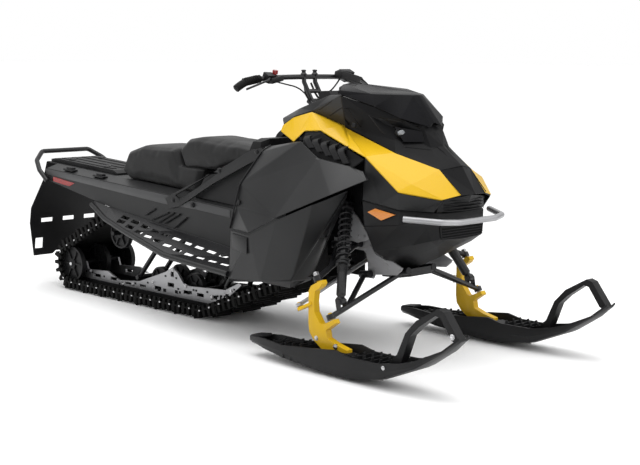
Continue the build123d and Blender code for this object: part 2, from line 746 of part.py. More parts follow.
with BuildPart() as cargo_plate:
    plate = [(-1480, 0), (-1480, 12), (-1440, 20), (-940, 20), (-905, 8), (-905, 0)]
    add(slab([(x, fold_z(x) + tunnel_crown + seat_clearance + z) for x, z in plate], -128, 128))
    with Locations((cargo_x, 0, 700)):
        with GridLocations(anchor_pitch_x, anchor_pitch_y, 2, 2):
            Cylinder(anchor_r, 200, mode=Mode.SUBTRACT)
save(cargo_plate, "cargo_plate")

with BuildPart() as tail_light:
    with BuildSketch(flap_plane.offset(-4)):
        with Locations((0, -24)):
            Rectangle(130, 34)
    extrude(amount=-14)
save(tail_light, "tail_light")

with BuildPart() as side_reflectors:
    for y in (-tunnel_half - 3, tunnel_half):
        add(slab([(-1332, 580), (-1142, 560), (-1190, 541), (-1332, 557)], y, y + 3))
save(side_reflectors, "side_reflectors")


# ---------------------------------------------------------------- seat and tank
def soft(points, full, edge):
    # a cushion: full outline over the middle, drawn in by `edge` towards each flank
    middle = Vector(sum(x for x, _ in points) / len(points), sum(z for _, z in points) / len(points))
    span = max(x for x, _ in points) - min(x for x, _ in points)
    small = [(middle.X + (x - middle.X) * (1 - 2 * edge / span), z - edge * 0.5 if z > middle.Y else z)
             for x, z in points]
    ys = ((-full, small), (-full + edge, points), (full - edge, points), (full, small))
    return loft_of([flat(Plane.XZ.offset(-y), outline) for y, outline in ys])


def seat_floor(x):
    return fold_z(x) + tunnel_crown + seat_clearance


with BuildPart() as seat:
    add(soft([(-392, 684), (-434, 772), (-372, 816), (-300, 826), (96, 800), (120, 780), (-165, 690)], 132,
             30))
save(seat, "seat")
with BuildPart() as seat_rear:
    add(soft([(-776, seat_floor(-776) - 10), (-858, 642), (-806, 734), (-690, 768), (-560, 770),
              (-436, 768),
              (-394, 683), (-240, 683), (-272, seat_floor(-272) - 10)], 148, 24))
    add(channel(seat_clearance, 0), mode=Mode.SUBTRACT)
save(seat_rear, "seat_rear")
with BuildPart() as tank:
    add(soft([(-262, seat_floor(-262) - 10), (-180, 668), (-120, 674), (112, 750), (180, 850), (236, 850),
              (236, seat_floor(236) - 10)], 190, 30))
    add(channel(seat_clearance, 0), mode=Mode.SUBTRACT)
save(tank, "fuel_tank")


# ---------------------------------------------------------------- body panels
# corners of the right-hand panels (x, y, z); the left-hand ones mirror them
side_corners = {
    "A": (546, -280, 861), "B": (319, -230, 827), "C": (330, -290, 808), "D": (293, -380, 674),
    "E": (284, -400, 583), "F": (252, -400, 488), "G": (392, -425, 483), "H": (554, -430, 565),
    "I": (828, -390, 672), "J": (952, -320, 734), "K": (836, -290, 779), "L": (655, -290, 801),
    "M": (910, -298, 764)}
with BuildPart() as side_panel:
    add(shell(side_corners, "ABC ACD ADL LDH DEH EGH EFG LHI LIK KIJ KJM", (-1, panel_wall, -2)))
save_both(side_panel, "side_panels")

lower_corners = {
    "P": (250, -396, 478), "Q": (392, -420, 472), "R": (560, -425, 552), "U": (739, -402, 626),
    "T": (797, -275, 656), "X": (583, -250, 293), "V": (622, -400, 311), "W": (540, -330, 262),
    "Y": (460, -420, 289), "Z": (240, -398, 272)}
with BuildPart() as lower_panel:
    add(shell(lower_corners, "PQZ QYZ QRY RVY RUV UTV TXV VXW VWY", (-3, panel_wall, 0)))
save_both(lower_panel, "lower_panels")

stripe_corners = {
    "a": (388, -238, 894), "A": (390, -228, 916), "B": (442, -214, 951), "b": (498, -166, 973),
    "c": (691, -165, 919), "d": (962, -170, 831), "e": (1125, -91, 771), "f": (1217, -75, 681),
    "g": (1187, -150, 665), "h": (1062, -260, 694), "i": (893, -260, 816), "j": (800, -252, 845),
    "k": (625, -240, 907), "l": (533, -240, 901), "m": (482, -250, 865)}
with BuildPart() as stripe:
    add(shell(stripe_corners, "aAm ABm Bbm bml blk bkc ckj cji cid dih deh ehg efg", (-3, 3, -4)))
save_both(stripe, "hood_stripes")

hood_corners = {
    "n": (1226, 0, 683), "f": (1217, -73, 681), "e": (1125, -89, 771), "o": (1160, 0, 783),
    "p": (1062, 0, 856), "E": (1047, -55, 850), "D": (1014, -55, 914), "G": (970, -120, 852),
    "H": (935, -140, 878), "A": (828, -170, 973), "B": (889, -150, 963), "R": (925, -92, 905),
    "l": (691, -163, 922), "d": (962, -168, 832), "s": (706, -203, 1044), "t": (849, -162, 1001),
    "u": (944, -118, 960), "v": (1000, -78, 934), "w": (1003, 0, 934)}
rims = "lAH lHd HGd GEe dGe Eeo Eop efn eno stA lsA tBA tuB uvD vwD Dwp DpE"
pocket = "RAB RBu RuD RDE REG RGH RHA"
with BuildPart() as hood:
    add(both_sides(shell(hood_corners, rims + " " + pocket, (-3, 3, -4))))
save(hood, "hood")

lamp_corners = {"a": (928, -136, 930), "b": (1006, -62, 912), "c": (1020, -62, 872), "d": (962, -120, 872)}
with BuildPart() as lamp:
    add(shell(lamp_corners, "abc acd", (-12, 8, 0)))
    add(hood.part, mode=Mode.SUBTRACT)
save_both(lamp, "headlights")

vent_corners = {"a": (540, -244, 892), "b": (630, -242, 896), "c": (880, -258, 806), "d": (556, -276, 852),
                "e": (652, -279, 786), "f": (836, -282, 768)}
with BuildPart() as side_vent:
    add(shell(vent_corners, "adb deb bec efc", (-1, 5, -4)))
save_both(side_vent, "side_vents")

cheek_corners = {"i": (893, -258, 808), "h": (1062, -258, 688), "g": (1185, -148, 659),
                 "A": (903, -288, 652),
                 "B": (979, -270, 638), "C": (1050, -246, 622), "D": (1113, -190, 616),
                 "E": (1148, -152, 613)}
with BuildPart() as cheek:
    add(shell(cheek_corners, "iAB iBh hBC hCD hDg gDE", (-4, 5, 0)))
save_both(cheek, "cheek_panels")

grille_corners = {"a": (1208, 0, 676), "b": (1184, -100, 664), "c": (1164, -142, 655), "d": (1180, 0, 614),
                  "e": (1174, -90, 614), "f": (1156, -140, 614)}
with BuildPart() as grille:
    add(both_sides(shell(grille_corners, "abd bed bce cfe", (-6, 0, -1))))
    for z in (616, 629, 642):
        with Locations((1180, 0, z)):
            Box(90, 240, 6, mode=Mode.SUBTRACT)
save(grille, "nose_grille")

shield_corners = {
    "a": (706, -205, 1050), "b": (849, -164, 1007), "c": (944, -120, 966), "d": (1000, -80, 940),
    "e": (1003, 0, 940), "f": (696, -202, 1070), "g": (830, -160, 1058), "h": (902, -102, 1058),
    "i": (930, -46, 1056), "j": (934, 0, 1056), "k": (686, -186, 1088), "l": (713, -120, 1099),
    "m": (787, -100, 1092), "n": (860, -48, 1075), "o": (713, 0, 1100), "p": (787, 0, 1092),
    "q": (860, 0, 1075)}
faces = "afg agb bgh bhc chi chi cid dij dje fkl flg lmg gmh mnh hni inj nqj mpn pqn lom opm"
with BuildPart() as windshield:
    add(both_sides(shell(shield_corners, faces, (-3, 2, -3))))
save(windshield, "windshield")

belly_stations = (              # x, then half width and height at waist, seam, crease, low edge and keel
    (905, (288, 646), (275, 545), (222, 445), (150, 407), (0, 345)),
    (1055, (238, 617), (250, 562), (165, 478), (92, 444), (0, 416)),
    (1130, (164, 608), (164, 556), (145, 500), (104, 478), (0, 468)),
    (1160, (138, 606), (136, 555), (130, 508), (96, 502), (0, 500)),
    (1162, (0, 606), (0, 555), (0, 508), (0, 502), (0, 500)))


def between(stations):
    # corners and facets of the right-hand skin that joins each station to the next
    corners, facets = {}, []
    for i, (x, *points) in enumerate(stations):
        for j, (y, z) in enumerate(points):
            corners[chr(65 + 8 * i + j)] = (x, -y, z)
    for i in range(len(stations) - 1):
        for j in range(len(stations[0]) - 2):
            a, b, c, d = (chr(65 + 8 * (i + m) + j + n) for m, n in ((0, 0), (0, 1), (1, 0), (1, 1)))
            facets += [a + b + c, b + d + c]
    return corners, " ".join(facets)


with BuildPart() as belly:
    add(both_sides(shell(*between(belly_stations), (-3, 4, 5))))
save(belly, "belly_pan")

with BuildPart() as front_reflector:
    add(slab([(966, 612), (1000, 620), (1046, 602), (988, 586)], -282, -278))
save_both(front_reflector, "front_reflectors")

bumper_path = [(1092, -262, 592), (1216, -185, 584), (1240, -110, 580), (1240, 110, 580), (1216, 185, 584),
               (1092, 262, 592)]
with BuildPart() as front_bumper:
    add(tube(bumper_path, 30, tube_r))
save(front_bumper, "front_bumper")

console_corners = {
    "a": (349, -190, 943), "b": (349, 0, 950), "c": (410, -150, 985), "d": (410, 0, 990),
    "e": (585, -150, 1044),
    "f": (585, 0, 1044), "g": (688, -196, 1046), "h": (688, 0, 1046), "i": (392, -226, 921),
    "j": (444, -212, 956),
    "k": (498, -164, 978), "l": (688, -161, 925)}
column_hole_r = 24.0
with BuildPart() as console:
    add(both_sides(shell(console_corners, "abc bdc cde dfe efh ehg aij ajc cjk cke kge klg", (-1, 3, -5))))
    axis_point = (column_head[0], 0, column_head[1])
    add(rod(along_king(axis_point, -90), along_king(axis_point, 10), column_hole_r), mode=Mode.SUBTRACT)
save(console, "console")

with BuildPart() as gauge:
    add(slab([(440, 1002), (436, 1030), (452, 1056), (496, 1058), (520, 1028)], -68, 68))
save(gauge, "gauge_pod")

cap_x, cap_z = 168.0, 838.0
with BuildPart() as fuel_cap:
    with BuildSketch(Plane(origin=(cap_x, 0, cap_z), z_dir=(-0.82, 0, 0.57))):
        Circle(42)
    extrude(amount=26)
    add(tank.part, mode=Mode.SUBTRACT)
save(fuel_cap, "fuel_cap")
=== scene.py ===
# Mountain snowmobile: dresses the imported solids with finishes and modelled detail.
import math
import json
import bpy
import bmesh
from mathutils import Matrix, Vector


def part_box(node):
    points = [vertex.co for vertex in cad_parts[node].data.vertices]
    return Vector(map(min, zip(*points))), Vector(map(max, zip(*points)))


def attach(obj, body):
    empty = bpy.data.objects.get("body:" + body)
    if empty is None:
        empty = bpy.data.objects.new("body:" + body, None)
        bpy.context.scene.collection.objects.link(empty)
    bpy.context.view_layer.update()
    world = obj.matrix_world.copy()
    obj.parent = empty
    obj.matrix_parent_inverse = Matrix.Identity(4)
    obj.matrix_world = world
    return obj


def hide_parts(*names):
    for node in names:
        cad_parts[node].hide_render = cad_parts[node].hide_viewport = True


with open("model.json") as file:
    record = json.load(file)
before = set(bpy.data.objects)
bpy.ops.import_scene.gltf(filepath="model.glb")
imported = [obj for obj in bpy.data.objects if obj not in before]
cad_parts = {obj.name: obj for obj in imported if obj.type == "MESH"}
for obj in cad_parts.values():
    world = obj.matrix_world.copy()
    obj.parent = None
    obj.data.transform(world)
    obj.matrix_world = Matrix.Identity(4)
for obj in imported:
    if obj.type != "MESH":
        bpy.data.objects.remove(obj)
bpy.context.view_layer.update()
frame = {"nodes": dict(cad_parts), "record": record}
print("stage: frame loaded")

# materials: each recipe is one dictionary, read by one function per kind of finish


def newMaterial(name):
    material = bpy.data.materials.new(name)
    material.use_nodes = True
    tree = material.node_tree
    return material, tree, tree.nodes["Principled BSDF"]


def addNode(tree, kind, **settings):
    node = tree.nodes.new(kind)
    for key, value in settings.items():
        setattr(node, key, value)
    return node


def noiseAt(tree, scale, detail=4.0, stretch=(1, 1, 1)):
    coords = addNode(tree, "ShaderNodeTexCoord")
    mapping = addNode(tree, "ShaderNodeMapping")
    mapping.inputs["Scale"].default_value = stretch
    noise = addNode(tree, "ShaderNodeTexNoise")
    noise.inputs["Scale"].default_value = scale
    noise.inputs["Detail"].default_value = detail
    tree.links.new(coords.outputs["Object"], mapping.inputs["Vector"])
    tree.links.new(mapping.outputs["Vector"], noise.inputs["Vector"])
    return noise.outputs["Fac"]


def spread(tree, value, low, high, start=0.3, end=0.7):
    ranger = addNode(tree, "ShaderNodeMapRange")
    for key, number in (("From Min", start), ("From Max", end), ("To Min", low), ("To Max", high)):
        ranger.inputs[key].default_value = number
    tree.links.new(value, ranger.inputs["Value"])
    return ranger.outputs["Result"]


def blendColour(tree, factor, first, second):
    mixer = addNode(tree, "ShaderNodeMix", data_type="RGBA")
    for key, value in ((6, first), (7, second)):
        if isinstance(value, (tuple, list)):
            mixer.inputs[key].default_value = (*value[:3], 1)
        else:
            tree.links.new(value, mixer.inputs[key])
    tree.links.new(factor, mixer.inputs[0])
    return mixer.outputs[2]


def roundedEdges(tree, radius):
    # shading normal that rounds sharp corners, and a mask that is 1 on them
    soft = addNode(tree, "ShaderNodeBevel", samples=4)
    soft.inputs["Radius"].default_value = radius
    sharp = addNode(tree, "ShaderNodeNewGeometry")
    dot = addNode(tree, "ShaderNodeVectorMath", operation="DOT_PRODUCT")
    tree.links.new(soft.outputs["Normal"], dot.inputs[0])
    tree.links.new(sharp.outputs["Normal"], dot.inputs[1])
    return soft.outputs["Normal"], spread(tree, dot.outputs["Value"], 1.0, 0.0, 0.86, 0.995)


def finish(recipe):
    # recipe: name, colour and dust (its second colour), edgeColour and edge (the corners' radius),
    # grain (scale of the fine noise) with stretch, relief and strength, broad (scale of the patches),
    # rough (lowest and highest), metal, coat and shine
    material, tree, shader = newMaterial(recipe["name"])
    normal, edges = roundedEdges(tree, recipe.get("edge", 0.0015))
    broad = noiseAt(tree, recipe.get("broad", 6.0), 3.0)
    fine = noiseAt(tree, recipe["grain"], 3.0, recipe.get("stretch", (1, 1, 1)))
    colour = blendColour(tree, spread(tree, broad, 0.0, 1.0), recipe["colour"], recipe["dust"])
    worn = addNode(tree, "ShaderNodeMath", operation="MULTIPLY")
    tree.links.new(edges, worn.inputs[0])
    tree.links.new(spread(tree, noiseAt(tree, 60.0), 0.15, 0.6), worn.inputs[1])
    colour = blendColour(tree, worn.outputs[0], colour, recipe["edgeColour"])
    tree.links.new(colour, shader.inputs["Base Color"])
    low, high = recipe["rough"]
    tree.links.new(spread(tree, fine, low, high), shader.inputs["Roughness"])
    bump = addNode(tree, "ShaderNodeBump")
    bump.inputs["Strength"].default_value = recipe.get("strength", 0.35)
    bump.inputs["Distance"].default_value = recipe["relief"]
    tree.links.new(fine, bump.inputs["Height"])
    tree.links.new(normal, bump.inputs["Normal"])
    tree.links.new(bump.outputs["Normal"], shader.inputs["Normal"])
    shader.inputs["Metallic"].default_value = recipe.get("metal", 0.0)
    shader.inputs["Coat Weight"].default_value = recipe.get("coat", 0.0)
    shader.inputs["Coat Roughness"].default_value = 0.12
    shader.inputs["Specular IOR Level"].default_value = recipe.get("shine", 0.5)
    return material


plasticBlack = finish({"name": "mouldedBlack", "colour": (0.0065, 0.0065, 0.007),
                       "dust": (0.010, 0.010, 0.0107), "edgeColour": (0.04, 0.04, 0.042), "grain": 900,
                       "rough": (0.38, 0.5), "relief": 0.0004, "shine": 0.2})
panelDark = finish({"name": "panelDark", "colour": (0.010, 0.0102, 0.0107), "dust": (0.014, 0.0142, 0.0148),
                    "edgeColour": (0.06, 0.06, 0.063), "grain": 500, "rough": (0.32, 0.40),
                    "relief": 0.0002, "edge": 0.003, "shine": 0.26})
yellowGloss = finish({"name": "yellowGloss", "colour": (0.66, 0.405, 0.012), "dust": (0.62, 0.375, 0.010),
                      "edgeColour": (0.80, 0.55, 0.08), "grain": 300, "rough": (0.26, 0.34),
                      "relief": 0.0001, "edge": 0.003, "coat": 0.1, "broad": 3.0, "shine": 0.2})
silverMetal = finish({"name": "silverMetal", "colour": (0.42, 0.42, 0.43), "dust": (0.33, 0.33, 0.34),
                      "edgeColour": (0.6, 0.6, 0.6), "grain": 120, "stretch": (1, 9, 9),
                      "rough": (0.34, 0.5), "relief": 0.0002, "metal": 0.85})
brightSteel = finish({"name": "brightSteel", "colour": (0.62, 0.62, 0.63), "dust": (0.5, 0.5, 0.51),
                      "edgeColour": (0.75, 0.75, 0.75), "grain": 200, "rough": (0.2, 0.34),
                      "relief": 0.0001, "metal": 1.0})
tunnelCoat = finish({"name": "tunnelCoat", "colour": (0.0095, 0.0097, 0.0102),
                     "dust": (0.014, 0.0142, 0.0148), "edgeColour": (0.10, 0.10, 0.105), "grain": 700,
                     "rough": (0.34, 0.46), "relief": 0.0003, "shine": 0.3})
# a lighter copy of tunnelCoat: painted highlight for the band along the top of the tunnel's sides
shoulderHighlight = finish({"name": "shoulderHighlight", "colour": (0.050, 0.0505, 0.052),
                       "dust": (0.060, 0.0605, 0.062), "edgeColour": (0.12, 0.12, 0.125), "grain": 700,
                       "rough": (0.36, 0.48), "relief": 0.0003, "shine": 0.3})
blackCoat = finish({"name": "blackCoat", "colour": (0.008, 0.008, 0.009), "dust": (0.012, 0.012, 0.013),
                    "edgeColour": (0.05, 0.05, 0.05), "grain": 500, "rough": (0.24, 0.38), "relief": 0.0002,
                    "shine": 0.35})
grilleBlack = finish({"name": "grilleBlack", "colour": (0.004, 0.004, 0.0045),
                      "dust": (0.006, 0.006, 0.0065), "edgeColour": (0.02, 0.02, 0.02), "grain": 600,
                      "rough": (0.5, 0.65), "relief": 0.0002, "shine": 0.12})
runnerSteel = finish({"name": "runnerSteel", "colour": (0.42, 0.42, 0.43), "dust": (0.30, 0.29, 0.28),
                      "edgeColour": (0.6, 0.6, 0.6), "grain": 150, "stretch": (1, 8, 8),
                      "rough": (0.25, 0.45), "relief": 0.0003, "metal": 1.0})
hoodBlack = finish({"name": "hoodBlack", "colour": (0.0045, 0.0045, 0.005), "dust": (0.007, 0.007, 0.0075),
                    "edgeColour": (0.04, 0.04, 0.042), "grain": 700, "rough": (0.40, 0.5), "relief": 0.0002,
                    "shine": 0.1})
trackRubber = finish({"name": "trackRubber", "colour": (0.0035, 0.0035, 0.0035),
                      "dust": (0.0065, 0.0065, 0.0062), "edgeColour": (0.025, 0.025, 0.024), "grain": 350,
                      "rough": (0.55, 0.75), "relief": 0.0008, "strength": 0.6, "shine": 0.12})
shieldTint = finish({"name": "shieldTint", "colour": (0.006, 0.006, 0.0066),
                     "dust": (0.0085, 0.0085, 0.0095), "edgeColour": (0.05, 0.05, 0.052), "grain": 60,
                     "rough": (0.24, 0.32), "relief": 0.00003, "edge": 0.002, "shine": 0.025})
lampSmoke = finish({"name": "lampSmoke", "colour": (0.004, 0.004, 0.005), "dust": (0.006, 0.006, 0.007),
                    "edgeColour": (0.03, 0.03, 0.032), "grain": 40, "rough": (0.05, 0.09),
                    "relief": 0.00002, "shine": 0.15})
castMetal = finish({"name": "castMetal", "colour": (0.10, 0.10, 0.105), "dust": (0.06, 0.06, 0.062),
                    "edgeColour": (0.2, 0.2, 0.2), "grain": 260, "rough": (0.4, 0.6), "relief": 0.0008,
                    "metal": 0.8})
dullCasting = finish({"name": "dullCasting", "colour": (0.30, 0.30, 0.31), "dust": (0.22, 0.22, 0.225),
                      "edgeColour": (0.45, 0.45, 0.45), "grain": 320, "rough": (0.45, 0.62),
                      "relief": 0.0005, "metal": 0.35})


def lens(recipe):
    material, tree, shader = newMaterial(recipe["name"])
    ribs = noiseAt(tree, recipe["grain"], 2.0, (1, 1, 6))
    tree.links.new(blendColour(tree, spread(tree, ribs, 0, 1), recipe["colour"], recipe["deep"]),
                   shader.inputs["Base Color"])
    tree.links.new(spread(tree, ribs, 0.08, 0.22), shader.inputs["Roughness"])
    shader.inputs["Transmission Weight"].default_value = recipe["clear"]
    shader.inputs["Coat Weight"].default_value = 0.35
    shader.inputs["IOR"].default_value = 1.45
    return material


redLens = lens({"name": "redLens", "colour": (0.34, 0.012, 0.012), "deep": (0.22, 0.006, 0.006),
                "grain": 90, "clear": 0.1})
orangeLens = lens({"name": "orangeLens", "colour": (0.66, 0.24, 0.035), "deep": (0.56, 0.17, 0.02),
                   "grain": 90, "clear": 0.0})
lampLens = lens({"name": "lampLens", "colour": (0.42, 0.44, 0.46), "deep": (0.16, 0.17, 0.18), "grain": 60,
                 "clear": 0.2})


def vinyl(recipe):
    # seat cover: fine crossed grain with a little sheen
    material, tree, shader = newMaterial(recipe["name"])
    coords = addNode(tree, "ShaderNodeTexCoord")
    cells = addNode(tree, "ShaderNodeTexVoronoi")
    cells.inputs["Scale"].default_value = recipe["grain"]
    tree.links.new(coords.outputs["Object"], cells.inputs["Vector"])
    broad = noiseAt(tree, 14.0)
    tree.links.new(blendColour(tree, spread(tree, broad, 0, 1), recipe["colour"], recipe["dust"]),
                   shader.inputs["Base Color"])
    tree.links.new(spread(tree, broad, *recipe["rough"]), shader.inputs["Roughness"])
    bump = addNode(tree, "ShaderNodeBump")
    bump.inputs["Strength"].default_value = 0.5
    bump.inputs["Distance"].default_value = 0.0006
    tree.links.new(cells.outputs["Distance"], bump.inputs["Height"])
    tree.links.new(bump.outputs["Normal"], shader.inputs["Normal"])
    shader.inputs["Sheen Weight"].default_value = 0.05
    shader.inputs["Specular IOR Level"].default_value = 0.22
    return material


seatVinyl = vinyl({"name": "seatVinyl", "colour": (0.009, 0.009, 0.0093), "dust": (0.013, 0.013, 0.0133),
                   "grain": 420, "rough": (0.42, 0.58)})
print("stage: materials made")

finishOf = {
    "black_plastic": plasticBlack, "dark_panel": panelDark, "yellow": yellowGloss, "silver": silverMetal,
    "tunnel_paint": tunnelCoat, "black_steel": blackCoat, "steel": runnerSteel, "rubber": trackRubber,
    "seat_cover": seatVinyl, "engine_cast": castMetal, "red_lens": redLens, "orange_lens": orangeLens,
    "lamp_lens": lampLens, "loop_plastic": plasticBlack}
for part in frame["record"]["subparts"]:
    solid = frame["nodes"][part["node"]].data
    solid.materials.clear()
    solid.materials.append(finishOf[part["material_slot"]])
frame["nodes"]["headlights"].data.materials[0] = lampSmoke
frame["nodes"]["side_vents"].data.materials[0] = grilleBlack

bodyOf = {node: body for body, nodes in frame["record"]["behaviour"]["bodies"].items() for node in nodes}
slotOf = {part["node"]: part["material_slot"] for part in frame["record"]["subparts"]}
bpy.context.scene.view_settings.view_transform = "Standard"


def dress(mesh, name, material, body, replaced=(), crease=30):
    # turns a finished bmesh into a piece that rides on a body
    data = bpy.data.meshes.new(name)
    mesh.to_mesh(data)
    mesh.free()
    for face in data.polygons:
        face.use_smooth = True
    data.set_sharp_from_angle(angle=math.radians(crease))
    data.materials.append(material)
    piece = bpy.data.objects.new(name, data)
    bpy.context.collection.objects.link(piece)
    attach(piece, body)
    if replaced:
        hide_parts(*replaced)
    return piece


def copyOf(node):
    mesh = bmesh.new()
    mesh.from_mesh(frame["nodes"][node].data)
    bmesh.ops.remove_doubles(mesh, verts=mesh.verts, dist=0.00002)
    bmesh.ops.dissolve_limit(mesh, angle_limit=math.radians(1.0), verts=mesh.verts, edges=mesh.edges)
    return mesh


def ease(mesh, edges, width, clamp=True):
    bmesh.ops.bevel(mesh, geom=edges, offset=width, offset_type="OFFSET", affect="EDGES", segments=2,
                    profile=0.5, material=-1, clamp_overlap=clamp)


def softFolds(mesh, width, smallest=0.0006, low=4, high=75):
    # rounds the folds between the large facets of a panel, and leaves its rims crisp
    folds = [edge for edge in mesh.edges if len(edge.link_faces) == 2
             and min(face.calc_area() for face in edge.link_faces) > smallest
             and math.radians(low) < edge.calc_face_angle() < math.radians(high)]
    ease(mesh, folds, width)


def roundAll(mesh, width):
    softFolds(mesh, width, smallest=-1, low=20, high=181)


def placed(at, along):
    # matrix that puts local Z along a direction, at a point
    return Matrix.Translation(Vector(at)) @ Vector(along).to_track_quat("Z", "Y").to_matrix().to_4x4()


def lathe(mesh, profile, where, steps=32):
    # spins a list of (radius, height) round local Z and puts it in place
    made = [mesh.verts.new((radius, 0, height)) for radius, height in profile]
    edges = [mesh.edges.new(pair) for pair in zip(made, made[1:])]
    spun = bmesh.ops.spin(mesh, geom=made + edges, cent=(0, 0, 0), axis=(0, 0, 1), angle=2 * math.pi,
                          steps=steps, use_merge=True)
    whole = list(connected(made + vertsOf(spun["geom_last"])))
    bmesh.ops.remove_doubles(mesh, verts=whole, dist=0.00001)
    whole = list(connected([vert for vert in whole if vert.is_valid]))
    bmesh.ops.transform(mesh, matrix=where, verts=whole)
    outward(mesh, whole)


def vertsOf(items):
    return [item for item in items if isinstance(item, bmesh.types.BMVert)]


def outward(mesh, verts):
    faces = {face for vert in verts for face in vert.link_faces}
    bmesh.ops.recalc_face_normals(mesh, faces=list(faces))


def connected(start):
    seen, queue = set(start), list(start)
    while queue:
        for edge in queue.pop().link_edges:
            for vert in edge.verts:
                if vert not in seen:
                    seen.add(vert)
                    queue.append(vert)
    return seen


def blockAt(mesh, size, where, rounding=0.0):
    cube = bmesh.ops.create_cube(mesh, size=1.0, matrix=where @ Matrix.Diagonal((*size, 1)))
    if rounding:
        edges = {edge for vert in cube["verts"] for edge in vert.link_edges}
        ease(mesh, list(edges), rounding, clamp=False)


def plate(mesh, outline, push, rounding=0.0):
    # closed plate: a face through the corner points, pushed along a direction, its corners eased
    face = mesh.faces.new([mesh.verts.new(point) for point in outline])
    grown = bmesh.ops.extrude_face_region(mesh, geom=[face], use_keep_orig=True)["geom"]
    moved = vertsOf(grown)
    bmesh.ops.translate(mesh, vec=push, verts=moved)
    whole = connected(moved)
    outward(mesh, whole)
    if rounding:
        edges = {edge for vert in whole for edge in vert.link_edges}
        ease(mesh, [edge for edge in edges if edge.calc_face_angle(0) > math.radians(25)], rounding)


def strip(mesh, path, rise, thick):
    # upright strip that stands on a path, with a wall on both faces
    made = [mesh.verts.new(point) for point in path]
    edges = [mesh.edges.new(pair) for pair in zip(made, made[1:])]
    grown = bmesh.ops.extrude_edge_only(mesh, edges=edges)["geom"]
    bmesh.ops.translate(mesh, vec=rise, verts=vertsOf(grown))
    faces = [item for item in grown if isinstance(item, bmesh.types.BMFace)]
    bmesh.ops.recalc_face_normals(mesh, faces=faces)
    bmesh.ops.solidify(mesh, geom=faces, thickness=thick)


def tubeInto(mesh, points, radius, order=3, sides=3):
    # smooth round tube through guide points, added to a mesh
    curve = bpy.data.curves.new("guide", "CURVE")
    curve.dimensions = "3D"
    curve.bevel_depth = radius
    curve.bevel_resolution = sides
    curve.resolution_u = 6
    curve.use_fill_caps = True
    spline = curve.splines.new("NURBS")
    spline.points.add(len(points) - 1)
    for point, place in zip(spline.points, points):
        point.co = (*place, 1)
    spline.order_u = order
    spline.use_endpoint_u = True
    holder = bpy.data.objects.new("guideLine", curve)
    bpy.context.collection.objects.link(holder)
    data = bpy.data.meshes.new_from_object(holder)
    bpy.data.objects.remove(holder)
    mesh.from_mesh(data)
    bmesh.ops.remove_doubles(mesh, verts=mesh.verts, dist=0.00001)


def bothSides(mesh):
    # adds the mirror image across the machine's middle
    twin = bmesh.ops.duplicate(mesh, geom=mesh.verts[:] + mesh.edges[:] + mesh.faces[:])["geom"]
    bmesh.ops.scale(mesh, vec=(1, -1, 1), verts=vertsOf(twin))
    bmesh.ops.reverse_faces(mesh, faces=[item for item in twin if isinstance(item, bmesh.types.BMFace)])


boltShape = {       # washer, hexagon head and the shank's rounded end, each with its number of sides
    20: [(0, -1), (1.35, -1), (1.35, 0.25), (0, 0.25)],
    6: [(0, 0.2), (1, 0.2), (1, 0.9), (0.86, 1), (0, 1)],
    16: [(0, 1), (0.5, 1), (0.45, 1.25), (0, 1.3)]}


def boltAt(mesh, at, along, radius, height):
    where = placed(at, along)
    for steps, profile in boltShape.items():
        lathe(mesh, [(radius * wide, height * high) for wide, high in profile], where, steps)


# moulded body panels: the solids' facets with softly rounded folds
panels = {"side_panels": {"fold": 0.012, "finish": panelDark},
          "lower_panels": {"fold": 0.012, "finish": panelDark},
          "hood_stripes": {"fold": 0.004, "finish": yellowGloss},
          "hood": {"fold": 0.006, "finish": hoodBlack},
          "cheek_panels": {"fold": 0.003, "finish": panelDark},
          "belly_pan": {"fold": 0.008, "finish": plasticBlack},
          "windshield": {"fold": 0.005, "finish": shieldTint},
          "console": {"fold": 0.008, "finish": panelDark},
          "fuel_tank": {"fold": 0.006, "finish": plasticBlack}}
shield = {      # where each corner of the plain windshield goes: a crest, two valleys and raised rims
    (0.713, -0.120, 1.099): (0.575, -0.060, 1.088), (0.713, 0.0, 1.100): (0.562, 0.0, 1.093),
    (0.686, -0.186, 1.088): (0.600, -0.112, 1.076), (0.696, -0.202, 1.070): (0.692, -0.203, 1.067),
    (0.830, -0.160, 1.058): (0.812, -0.142, 1.054), (0.902, -0.102, 1.058): (0.880, -0.088, 1.052),
    (0.930, -0.046, 1.056): (0.926, -0.026, 1.050), (0.934, 0.0, 1.056): (0.930, 0.0, 1.051),
    (0.787, -0.100, 1.092): (0.735, -0.100, 1.063), (0.787, 0.0, 1.092): (0.720, 0.0, 1.081),
    (0.860, -0.048, 1.075): (0.850, -0.050, 1.057), (0.860, 0.0, 1.075): (0.845, 0.0, 1.064),
    (1.000, -0.080, 0.940): (1.013, -0.032, 0.945), (1.003, 0.0, 0.940): (1.016, 0.0, 0.945),
    (0.944, -0.120, 0.966): (0.949, -0.124, 0.968)}
shieldReach = 0.008         # both walls of the shell follow a corner this near
shieldCheek = {"corners": [(0.706, 0.203, 1.049), (0.691, 0.201, 1.066), (0.600, 0.110, 1.075),
                           (0.585, 0.106, 1.050)], "wall": 0.004}


def reshape(mesh, moves, reach):
    for vert in mesh.verts:
        side = -1 if vert.co.y > 0 else 1
        at = Vector((vert.co.x, vert.co.y * side, vert.co.z))
        near = min(moves, key=lambda corner: (Vector(corner) - at).length)
        if (Vector(near) - at).length < reach:
            shift = Vector(moves[near]) - Vector(near)
            vert.co += Vector((shift.x, shift.y * side, shift.z))


stripeFold = {"from": (0.893, -0.260, 0.816), "to": (1.187, -0.150, 0.665), "snap": 0.006, "clear": 0.02,
              "proud": (0.004, 0.007, 0.003)}


